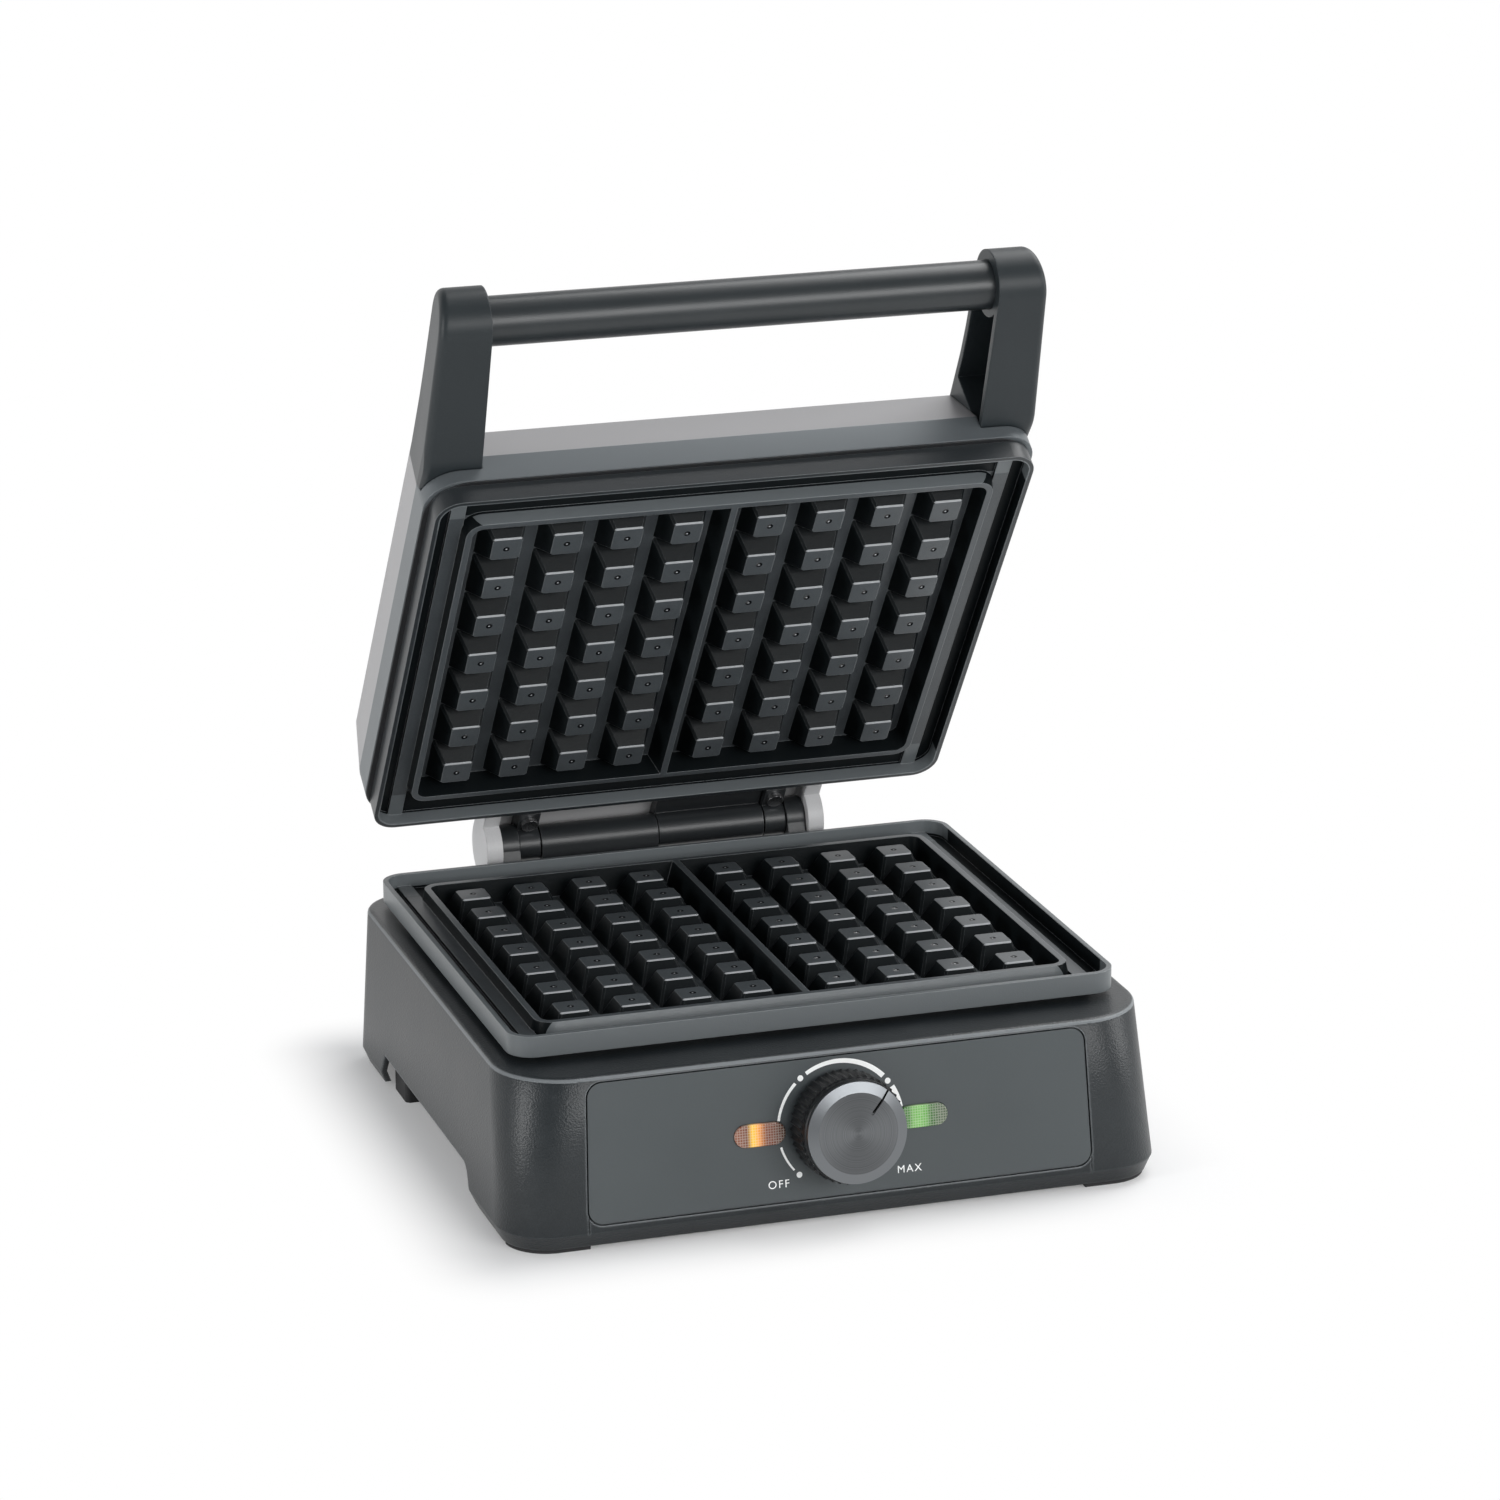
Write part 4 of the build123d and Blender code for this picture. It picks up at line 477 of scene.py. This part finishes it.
# %% Masks on one peg
PEG_FIRST_X = 16.72 * mm
PEG_PITCH_X = 24.0 * mm
PEG_PITCH_Y = 23.27 * mm
PEG_LEVEL = 1.5 * mm
PEG_HALF = 5.8 * mm
PEGS_END_X = 97 * mm
PEGS_END_Y = 78 * mm
ON_TOP_WITHIN = 0.3 * mm
NEAR_TOP_WITHIN = 0.5 * mm
DIMPLE_R = 1.45 * mm
BEAD_R = 0.55 * mm
EDGE_FROM, EDGE_TO = 5.25 * mm, 5.65 * mm


def wrapped(tree, value, pitch):
    """Fold a coordinate so that it repeats at the pitch, with 0 on each peg."""
    return calc(tree, "WRAP", value, pitch / 2, -pitch / 2)


def peg_masks(tree, out_x, y, out_y, height):
    """Masks of the pit, the painted shade in the dimple, the painted highlight in it and the painted highlight on
    the front edge.
    """
    across = wrapped(tree, calc(tree, "SUBTRACT", out_x, PEG_FIRST_X), PEG_PITCH_X)
    along = wrapped(tree, y, PEG_PITCH_Y)
    from_peg = flat_length(tree, across, along)
    on_top = calc(tree, "COMPARE", height, PEG_LEVEL, ON_TOP_WITHIN)
    pit = calc(tree, "MULTIPLY", ease(tree, from_peg, DIMPLE_R, 0.0), on_top)
    # Painted shade inside the dimple.
    dark = calc(tree, "MULTIPLY", on_top, ease(tree, from_peg, DIMPLE_R, 0.8 * DIMPLE_R))
    # Painted highlight: a light dot in the dimple's middle.
    dimple_highlight = calc(tree, "MULTIPLY", on_top, ease(tree, from_peg, BEAD_R, 0.0))

    among_pegs = calc(tree, "MULTIPLY", calc(tree, "LESS_THAN", out_x, PEGS_END_X),
                      calc(tree, "LESS_THAN", out_y, PEGS_END_Y))
    on_peg = calc(tree, "MULTIPLY", among_pegs,
                  calc(tree, "LESS_THAN", calc(tree, "ABSOLUTE", across), PEG_HALF))
    near_top = calc(tree, "COMPARE", height, PEG_LEVEL, NEAR_TOP_WITHIN)
    # Painted highlight along the front edge of each peg top.
    front_edge_highlight = calc(tree, "MULTIPLY", calc(tree, "MULTIPLY", near_top, on_peg),
                      ease(tree, along, -EDGE_FROM, -EDGE_TO))
    return pit, dark, dimple_highlight, front_edge_highlight


# %% [markdown]
# ## The non-stick plates: rim, ridge and gutter
# The pegs stand inside a ridge, the ridge inside a gutter, and the gutter inside a thin rim
# wall. The gutter is painted black as shade, like the pegs' walls. The ridge's front slope is
# painted greyer as a highlight, and the rim gets a painted tone of its own on each plate. The
# rim has rounded corners, so it is found by the distance from the corner's centre and not by
# X and Y alone.

# %% Masks round the baking field
CORNER_X, CORNER_Y = 110.0 * mm, 91.0 * mm
RIM_R = 8.5 * mm
RIDGE_X, RIDGE_Y = 107.4 * mm, 85.9 * mm
GUTTER_DEEP = 5.6 * mm


def border_masks(tree, out_x, out_y, height):
    """Masks of the gutter's floor, the ridge's front slope and the rim wall."""
    past_ridge_y = calc(tree, "GREATER_THAN", out_y, RIDGE_Y)
    past_ridge = calc(tree, "MAXIMUM", calc(tree, "GREATER_THAN", out_x, RIDGE_X), past_ridge_y)
    gutter = calc(tree, "MULTIPLY", past_ridge, calc(tree, "GREATER_THAN", height, GUTTER_DEEP))
    slope = calc(tree, "MULTIPLY", past_ridge_y, calc(tree, "SUBTRACT", 1.0, gutter, clamp=True))
    from_corner = flat_length(tree, calc(tree, "SUBTRACT", out_x, CORNER_X, clamp=True),
                              calc(tree, "SUBTRACT", out_y, CORNER_Y, clamp=True))
    rim = calc(tree, "GREATER_THAN", from_corner, RIM_R)
    return gutter, slope, rim


# %% [markdown]
# ## The non-stick plates: the coat
# The coat is painted black as shade on the steep walls of the pegs and in the gutter, and
# greyer on every face that is level with the plate, where the light falls. Black walls also
# shine less: at a steep angle even a black coat would mirror the bright room and turn grey.
# The masks are laid over each other like coats of paint, the last one on top.

# %% Make the coat
LEVEL_FROM, LEVEL_TO = 0.90, 0.99
COAT_TONES = {"Tone A": (0.055, 0.063, 0.068, 1), "Tone B": (0.080, 0.090, 0.097, 1),
              "Cloud mm": 30.0, "Fine mm": 0.5}
COAT_GRAIN = {"Cell mm": 0.5, "Depth mm": 0.035, "Edge mm": 0.5}
WALL_SHADE_BLACK = (0.006, 0.008, 0.009, 1)
SLOPE_HIGHLIGHT_GREY = (0.13, 0.145, 0.152, 1)
EDGE_HIGHLIGHT_GREY = (0.26, 0.28, 0.29, 1)
DIMPLE_SHADE_BLACK = (0.004, 0.005, 0.006, 1)
HIGHLIGHT_BRIGHT = (0.62, 0.64, 0.66, 1)
DIMPLE_DEEP = 0.5 * mm


def plate_coat(name, middle, facing, painted_rim_tone):
    """Non-stick coat for one plate; the marker is its middle, facing its outward side."""
    material, tree, shader = new_material(name)
    tones = put(tree, "Group", COAT_TONES, node_tree=tone_group)
    grain = put(tree, "Group", COAT_GRAIN, node_tree=grain_group)
    x, y, z = parts_of(tree, place_in(tree, middle))
    out_x, out_y, height = [calc(tree, "ABSOLUTE", value) for value in (x, y, z)]
    pit, dark, dimple_highlight, front_edge_highlight = peg_masks(tree, out_x, y, out_y, height)
    gutter, slope, rim = border_masks(tree, out_x, out_y, height)
    toward = vector_calc(tree, "DOT_PRODUCT", put(tree, "TexCoord").outputs["Normal"], facing)
    level = calc(tree, "SUBTRACT", ease(tree, toward, LEVEL_FROM, LEVEL_TO), gutter, clamp=True)

    # Painted light: walls and gutter black as shade, the front slope and the edges lighter as highlights, the rim
    # in its own tone per plate, the dimple dark as shade, and its dot and the pegs' front edges bright as
    # highlights.
    shade = mixed(tree, level, WALL_SHADE_BLACK, tones.outputs["Color"])
    shade = mixed(tree, slope, shade, SLOPE_HIGHLIGHT_GREY)
    shade = mixed(tree, rim, shade, (*painted_rim_tone, 1))
    shade = mixed(tree, calc(tree, "MULTIPLY", grain.outputs["Edge"], 0.8), shade, EDGE_HIGHLIGHT_GREY)
    shade = mixed(tree, dark, shade, DIMPLE_SHADE_BLACK)
    painted_highlight = calc(tree, "MAXIMUM", dimple_highlight, calc(tree, "MULTIPLY", front_edge_highlight, 0.6))
    feed(tree, mixed(tree, painted_highlight, shade, HIGHLIGHT_BRIGHT), shader.inputs["Base Color"])

    greyer = calc(tree, "MAXIMUM", level, calc(tree, "MAXIMUM", rim, slope))
    shining = calc(tree, "SUBTRACT", greyer, dark, clamp=True)
    feed(tree, ranged(tree, shining, 0.10, 0.50), shader.inputs["Specular IOR Level"])
    feed(tree, ranged(tree, dark, 0.34, 0.12), shader.inputs["Roughness"])
    pressed = put(tree, "Bump", {"Strength": 1.0, "Distance": DIMPLE_DEEP}, invert=True)
    feed(tree, pit, pressed.inputs["Height"])
    feed(tree, grain.outputs["Normal"], pressed.inputs["Normal"])
    feed(tree, pressed.outputs["Normal"], shader.inputs["Normal"])
    return material


# %% [markdown]
# Each plate gets its own coat, because "level" means facing up for the lower plate and
# facing away from the open lid for the upper one. The lower rim is painted greyer as a
# highlight, the upper rim darker as shade.

# %% Coats of the two plates
up_from_plate = Vector((0, 0, 1))
down_from_lid = lid_turn.to_3x3() @ Vector((0, 0, -1))
own_finish["lower_plate"] = plate_coat("coat of lower plate", lower_marker, up_from_plate,
                                       (0.115, 0.128, 0.134))
own_finish["upper_plate"] = plate_coat("coat of upper plate", upper_marker, down_from_lid,
                                       (0.022, 0.026, 0.029))
print("the open lid's plate faces", [round(v, 3) for v in down_from_lid])

# %% [markdown]
# ## Turned metal of the knob disc
# A lathe leaves fine rings round the centre. A noise that reads only the distance from the
# centre draws them. The sloping ring outside is painted lighter than the flat middle as a
# highlight, and the filled pointer line runs from the middle to the rim, a little longer
# than its groove.

# %% Tones of the disc
FLAT_R = 15.5 * mm
TURN_MARKS = 2600.0
POINTER_TURN = radians(40)
POINTER_FROM = 9.4 * mm
POINTER_HALF = 0.42 * mm

disc, tree, shader = new_material("turned dark metal")
on_disc = place_in(tree, knob_marker)
radius = vector_calc(tree, "LENGTH", vector_calc(tree, "MULTIPLY", on_disc, (1, 1, 0)))
rings = put(tree, "TexNoise", {"Scale": TURN_MARKS, "Detail": 2.0}, noise_dimensions="1D")
feed(tree, radius, rings.inputs["W"])
middle_tone = mixed(tree, rings.outputs["Fac"], (0.08, 0.085, 0.09, 1), (0.16, 0.165, 0.17, 1))
outside = ease(tree, radius, FLAT_R - 0.1 * mm, FLAT_R + 0.1 * mm)
# Painted highlight: the sloping ring gets a lighter tone than the middle.
disc_tone = mixed(tree, outside, middle_tone, (0.19, 0.20, 0.21, 1))

along_pointer = vector_calc(tree, "DOT_PRODUCT", on_disc,
                            (sin(POINTER_TURN), cos(POINTER_TURN), 0))
beside_pointer = vector_calc(tree, "DOT_PRODUCT", on_disc,
                             (cos(POINTER_TURN), -sin(POINTER_TURN), 0))
pointer = calc(tree, "MULTIPLY", calc(tree, "GREATER_THAN", along_pointer, POINTER_FROM),
               calc(tree, "LESS_THAN", calc(tree, "ABSOLUTE", beside_pointer), POINTER_HALF))
feed(tree, mixed(tree, pointer, disc_tone, (0.004, 0.004, 0.004, 1)), shader.inputs["Base Color"])
finishes["knob_metal"] = disc
print("pointer stands, degrees from straight up:", round(degrees(POINTER_TURN)))

# %% [markdown]
# The light smears across the turned rings into bright fans. Anisotropic shading does that
# when its tangent runs round the axis: the cross product of the axis with the way out from
# the centre. The sloping ring is ground across, so there the smear stops.

# %% Shine of the disc
ring_bump = put(tree, "Bump", {"Strength": 0.25, "Distance": 0.02 * mm})
feed(tree, rings.outputs["Fac"], ring_bump.inputs["Height"])
feed(tree, ring_bump.outputs["Normal"], shader.inputs["Normal"])
outward = vector_calc(tree, "SUBTRACT", put(tree, "NewGeometry").outputs["Position"], knob_at)
feed(tree, vector_calc(tree, "CROSS_PRODUCT", knob_out, outward), shader.inputs["Tangent"])
feed(tree, ranged(tree, outside, 0.5, 0.0), shader.inputs["Anisotropic"])
shader.inputs["Metallic"].default_value = 1.0
shader.inputs["Roughness"].default_value = 0.36
print("finish of the disc:", disc.name)

# %% [markdown]
# ## Lamp lenses
# Each lens is clear coloured plastic with a grid of little prisms behind it. A colour ramp
# along the lens shows where the lamp shines through, and a brick pattern in the face's own
# coordinates makes the prisms. The brightest part glows a little.

# %% How a lens is made
LENS_HALF = 10.0 * mm
LENS_AT = 32.0 * mm
SPARKLE = 0.30
PRISM_TONE = (0.75, 0.72, 0.62, 1)
PRISM_GRID = {"Scale": PER_METRE, "Brick Width": 1.0, "Row Height": 1.0, "Mortar Size": 0.2,
              "Mortar Smooth": 0.6, "Color1": (0, 0, 0, 1), "Color2": (0.25, 0.25, 0.25, 1),
              "Mortar": (1, 1, 1, 1)}


def band_ramp(tree, value, bands):
    """A colour ramp; bands are places from 0 to 1, each with a colour."""
    node = put(tree, "ValToRGB")
    stops = node.color_ramp.elements
    for stop, (position, colour) in ((stops[0], bands[0]), (stops[1], bands[-1])):
        stop.position = position
        stop.color = (*colour, 1)
    for position, colour in bands[1:-1]:
        stops.new(position).color = (*colour, 1)
    feed(tree, value, node.inputs[0])
    return node.outputs["Color"]


def lens_material(name, centre, bands, glow_at, glow_wide, glow):
    """Coloured lens with its bands, prisms and glow."""
    material, tree, shader = new_material(name)
    on_face = place_in(tree, front_face)
    along = put(tree, "MapRange", {"From Min": centre - LENS_HALF, "From Max": centre + LENS_HALF})
    feed(tree, parts_of(tree, on_face)[0], along.inputs["Value"])
    grid = put(tree, "TexBrick", PRISM_GRID, offset=0.0)
    feed(tree, on_face, grid.inputs["Vector"])
    tone = mixed(tree, calc(tree, "MULTIPLY", grid.outputs["Color"], SPARKLE),
                 band_ramp(tree, along.outputs["Result"], bands), PRISM_TONE)
    feed(tree, tone, shader.inputs["Base Color"])
    away = calc(tree, "ABSOLUTE", calc(tree, "SUBTRACT", along.outputs["Result"], glow_at))
    feed(tree, tone, shader.inputs["Emission Color"])
    feed(tree, calc(tree, "MULTIPLY", ease(tree, away, glow_wide, 0.0), glow),
         shader.inputs["Emission Strength"])
    shader.inputs["Roughness"].default_value = 0.12
    shader.inputs["Coat Weight"].default_value = 0.2
    prisms = put(tree, "Bump", {"Strength": 0.4, "Distance": 0.15 * mm})
    feed(tree, grid.outputs["Color"], prisms.inputs["Height"])
    feed(tree, prisms.outputs["Normal"], shader.inputs["Normal"])
    return material


# %% The orange and the green lens
finishes["orange_lens"] = lens_material(
    "orange lens", -LENS_AT,
    [(0.0, (0.26, 0.07, 0.03)), (0.24, (0.16, 0.035, 0.012)), (0.34, (0.90, 0.48, 0.004)),
     (0.50, (0.72, 0.22, 0.004)), (0.62, (0.24, 0.045, 0.01)), (1.0, (0.04, 0.01, 0.006))],
    glow_at=0.40, glow_wide=0.20, glow=0.35)
finishes["green_lens"] = lens_material(
    "green lens", LENS_AT,
    [(0.0, (0.01, 0.10, 0.005)), (0.22, (0.03, 0.20, 0.015)), (0.30, (0.15, 0.44, 0.08)),
     (0.58, (0.10, 0.36, 0.05)), (0.66, (0.02, 0.14, 0.01)), (0.85, (0.07, 0.12, 0.06)),
     (1.0, (0.03, 0.07, 0.025))],
    glow_at=0.44, glow_wide=0.20, glow=0.20)
print("finishes in all:", len(finishes) + len(own_finish))

# %% [markdown]
# ## Give every CAD piece its finish
# The record says which slot each node takes. The lid shell and the two plates have their own
# version, because these need to know where on the piece they are, and the hinge cover is
# painted paler than the shell as a highlight.

# %% Assign
for entry in frame["record"]["subparts"]:
    piece = nodes[entry["node"]]
    material = own_finish.get(entry["node"]) or finishes[entry["material_slot"]]
    if not piece.data.materials:
        piece.data.materials.append(material)
    for index in range(len(piece.data.materials)):
        piece.data.materials[index] = material

# %% [markdown]
# ## Printed scale on the front panel
# The white scale is pad printed: dots, arcs that grow wider with the heat, and two words.
# Ink is real matter with a real edge, so each mark is a flat shape laid a hair over the
# panel and not a mask in the panel's colour. It stays sharp from any distance.

# %% Printing ink
PANEL_LEVEL = -0.2 * mm
INK_LIFT = 0.03 * mm

ink = grained("white printing ink", (0.92, 0.93, 0.92), (0.97, 0.98, 0.97),
              rough=0.5, cell=0.4, depth=0.002, edge=0.02)


def ride_on_panel(obj):
    """Tie a printed mark to the standing body."""
    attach(obj, "base")


def print_on_panel(name, points, faces):
    """Add a flat piece of ink; points are X and Y on the front face."""
    mesh = bpy.data.meshes.new(name)
    mesh.from_pydata([(x, y, PANEL_LEVEL + INK_LIFT) for x, y in points], [], faces)
    obj = bpy.data.objects.new(name, mesh)
    bpy.context.collection.objects.link(obj)
    obj.data.materials.append(ink)
    obj.matrix_world = face_matrix
    ride_on_panel(obj)


# %% [markdown]
# Each arc is a flat strip bent round the knob axis, a little wider at its hot end. The dots
# lie on the same circle, one at each end and two between the arcs. Angles are degrees
# clockwise from straight up.

# %% Arcs and dots
SCALE_R = 24.2 * mm
SCALE_X = -0.5 * mm
SCALE_Y = -0.8 * mm
DOT_R = 1.15 * mm
DOT_SIDES = 24
ARC_STEPS = 28
ARCS = [(-130, -105, 0.75, 0.9), (-81, -44, 1.0, 1.25), (-31, 47, 1.5, 2.0), (60, 81, 2.2, 2.3),
        (104, 129, 2.3, 2.4)]
DOTS = (-136.5, -37.5, 53.5, 136.5)


def arc_strip(name, start, end, wide_start, wide_end):
    """An arc of ink between two angles."""
    points = []
    for i in range(ARC_STEPS + 1):
        t = i / ARC_STEPS
        angle = radians(start + (end - start) * t)
        half = (wide_start + (wide_end - wide_start) * t) / 2
        for r in (SCALE_R - half, SCALE_R + half):
            points.append((SCALE_X + r * sin(angle), SCALE_Y + r * cos(angle)))
    faces = [(2 * i, 2 * i + 1, 2 * i + 3, 2 * i + 2) for i in range(ARC_STEPS)]
    print_on_panel(name, points, faces)


def dot(name, turn):
    """A round dot of ink on the scale circle."""
    x = SCALE_X + SCALE_R * sin(radians(turn))
    y = SCALE_Y + SCALE_R * cos(radians(turn))
    corners = [2 * pi * i / DOT_SIDES for i in range(DOT_SIDES)]
    points = [(x + DOT_R * cos(angle), y + DOT_R * sin(angle)) for angle in corners]
    print_on_panel(name, points, [tuple(range(DOT_SIDES))])


for number, (start, end, wide_a, wide_b) in enumerate(ARCS):
    arc_strip("scale_arc_%d" % (number + 1), start, end, wide_a * mm, wide_b * mm)
for number, turn in enumerate(DOTS):
    dot("scale_dot_%d" % (number + 1), turn)
print("scale: %d arcs and %d dots" % (len(ARCS), len(DOTS)))

# %% [markdown]
# The words are text objects in the plain lettering that Blender carries. The size of a text
# counts the whole line height, and its capitals are 0.7 of that.

# %% Words on the panel
CAPITALS = 0.7
LETTER_SPACE = 1.22


def word(text, left, low, high):
    """A printed word with capital letters of a given height."""
    curve = bpy.data.curves.new("word_" + text, "FONT")
    curve.body = text
    curve.size = high / CAPITALS
    curve.space_character = LETTER_SPACE
    obj = bpy.data.objects.new("word_" + text, curve)
    bpy.context.collection.objects.link(obj)
    curve.materials.append(ink)
    obj.matrix_world = face_matrix @ Matrix.Translation((left, low, PANEL_LEVEL + INK_LIFT))
    ride_on_panel(obj)


word("OFF", -29.6 * mm, -22.5 * mm, 3.0 * mm)
word("MAX", 21.3 * mm, -22.4 * mm, 2.9 * mm)
print("words: OFF and MAX")

# %% [markdown]
# ## Pale floor
# Close to the maker the floor is plain lit paper and takes the shadow. Further out it fades
# to pure white for rays from the camera and for mirrored rays, so the picture has a white
# ground and shiny pieces mirror that same ground. The fade goes by the distance from the
# box of the housing, straight out on its sides and round at its corners.

# %% Paper that fades to white
SHADOW_WIDE = 42 * mm


def sees_ground(tree):
    """1 for camera rays and for mirrored and see-through rays, else 0."""
    ray = put(tree, "LightPath")
    some = calc(tree, "MAXIMUM", ray.outputs["Is Camera Ray"], ray.outputs["Is Glossy Ray"])
    return calc(tree, "MAXIMUM", some, ray.outputs["Is Transmission Ray"])


foot_low, foot_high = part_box("base_housing")
foot_middle = (Vector(foot_low) + Vector(foot_high)) / 2
foot_half = (Vector(foot_high) - Vector(foot_low)) / 2

paper, tree, shader = new_material("white paper")
fibre = put(tree, "TexNoise", {"Scale": 60.0})
feed(tree, mixed(tree, fibre.outputs["Fac"], (0.90, 0.90, 0.90, 1), (0.93, 0.93, 0.93, 1)),
     shader.inputs["Base Color"])
shader.inputs["Roughness"].default_value = 0.9
shader.inputs["Specular IOR Level"].default_value = 0.1
aside = vector_calc(tree, "SUBTRACT", put(tree, "NewGeometry").outputs["Position"], foot_middle)
past = vector_calc(tree, "SUBTRACT", vector_calc(tree, "ABSOLUTE", aside), foot_half)
from_maker = vector_calc(tree, "LENGTH", vector_calc(tree, "MAXIMUM", past, (0, 0, 0)))
fade = calc(tree, "MULTIPLY", ease(tree, from_maker, -SHADOW_WIDE / 3, SHADOW_WIDE),
            sees_ground(tree))
white = put(tree, "Emission", {"Color": (1, 1, 1, 1), "Strength": 1.0})
feed(tree, mixed_shaders(tree, fade, shader, white),
     tree.nodes["Material Output"].inputs["Surface"])
print("shadow may reach, mm:", round(SHADOW_WIDE / mm))

# %% Floor
FLOOR_LEFT, FLOOR_RIGHT = -1.6, 1.6
FLOOR_FRONT, FLOOR_BACK = -0.7, 3.0

floor_mesh = bpy.data.meshes.new("floor")
floor_mesh.from_pydata([(FLOOR_LEFT, FLOOR_FRONT, 0), (FLOOR_RIGHT, FLOOR_FRONT, 0),
                        (FLOOR_RIGHT, FLOOR_BACK, 0), (FLOOR_LEFT, FLOOR_BACK, 0)],
                       [], [(0, 1, 2, 3)])
floor = bpy.data.objects.new("floor", floor_mesh)
bpy.context.collection.objects.link(floor)
floor.data.materials.append(paper)
print("floor, m: %.1f by %.1f" % (FLOOR_RIGHT - FLOOR_LEFT, FLOOR_BACK - FLOOR_FRONT))

# %% [markdown]
# ## The room
# The room round the table is brighter at the back, where the white backdrop stands, and
# dimmer in front and overhead. That is what gives the black pieces their shape: they show
# dark and light parts of the room. The camera itself sees plain white everywhere.

# %% World
ROOM_FRONT = 0.30
ROOM_BACK = 0.95
ROOM_TONE = (0.95, 0.97, 1.0, 1)

world = bpy.data.worlds.new("white studio")
bpy.context.scene.world = world
world.use_nodes = True
tree = world.node_tree
tree.nodes.clear()
out = put(tree, "OutputWorld")
look_y, look_z = parts_of(tree, put(tree, "TexCoord").outputs["Generated"])[1:]
backdrop = calc(tree, "MULTIPLY", ease(tree, look_y, 0.0, 0.65), ease(tree, look_z, 0.70, 0.22))
room = put(tree, "Background", {"Color": ROOM_TONE})
feed(tree, ranged(tree, backdrop, ROOM_FRONT, ROOM_BACK), room.inputs["Strength"])
ground = put(tree, "Background", {"Color": (1, 1, 1, 1), "Strength": 1.0})
mirrored = calc(tree, "MULTIPLY", sees_ground(tree), backdrop)
white_part = calc(tree, "MAXIMUM", mirrored, put(tree, "LightPath").outputs["Is Camera Ray"])
feed(tree, mixed_shaders(tree, white_part, room, ground), out.inputs["Surface"])
print("room light, front and back:", ROOM_FRONT, ROOM_BACK)

# %% [markdown]
# ## Soft boxes
# One box hangs over the right rear and makes the bright lines on upward edges. A low wide box
# at the right front puts the soft stripe on the round handle, one fills the left, and a weak
# one at the right keeps the black pieces from sinking there.

# %% Place the lamps
LIT_MIDDLE = Vector((0, 0, 0.12))


def soft_box(name, at, wide, high, watts):
    """A rectangular area light that looks at the middle of the maker."""
    light = bpy.data.lights.new(name, "AREA")
    light.shape = "RECTANGLE"
    light.size = wide
    light.size_y = high
    light.energy = watts
    obj = bpy.data.objects.new(name, light)
    bpy.context.collection.objects.link(obj)
    obj.location = at
    obj.rotation_euler = (LIT_MIDDLE - Vector(at)).to_track_quat("-Z", "Y").to_euler()
    print("%s: %.0f W" % (name, watts))


soft_box("rear right box", (0.75, 0.40, 1.25), wide=1.0, high=1.0, watts=13)
soft_box("front box", (0.50, -1.60, 0.62), wide=1.3, high=0.60, watts=15)
soft_box("left box", (-1.70, -0.50, 0.45), wide=0.40, high=1.0, watts=12)
soft_box("right box", (1.60, -0.50, 0.50), wide=0.60, high=0.8, watts=8)

# %% [markdown]
# ## Camera
# The camera stands where the photographer's did: turned 17.8 degrees to the left of the
# front, 17.1 degrees above the table, a little over two metres away, with a long lens. It
# looks at a point between the two plates, given from the hinge.

# %% Place the camera
TURN_LEFT = radians(17.84)
LOOK_DOWN = radians(17.09)
ROLL = radians(0.23)
FAR = 2.14722
LOOK_AT = hinge_at + Vector((4.97 * mm, -120.8226 * mm, 69.57 * mm))
LENS = 132.76
SENSOR = 36.0

ahead = Vector((sin(TURN_LEFT) * cos(LOOK_DOWN), cos(TURN_LEFT) * cos(LOOK_DOWN), -sin(LOOK_DOWN)))
sideways = Vector((cos(TURN_LEFT), -sin(TURN_LEFT), 0))
down = ahead.cross(sideways)
image_x = sideways * cos(ROLL) + down * sin(ROLL)
image_y = sideways * sin(ROLL) - down * cos(ROLL)
pose = Matrix((image_x, image_y, -ahead)).transposed().to_4x4()
pose.translation = LOOK_AT - ahead * FAR

camera_data = bpy.data.cameras.new("camera")
camera_data.sensor_width = SENSOR
camera_data.lens = LENS
camera_data.clip_end = 50
camera = bpy.data.objects.new("camera", camera_data)
bpy.context.collection.objects.link(camera)
camera.matrix_world = pose
bpy.context.scene.camera = camera
bpy.context.scene.view_settings.view_transform = "Standard"
print("camera at", [round(v, 3) for v in camera.location])
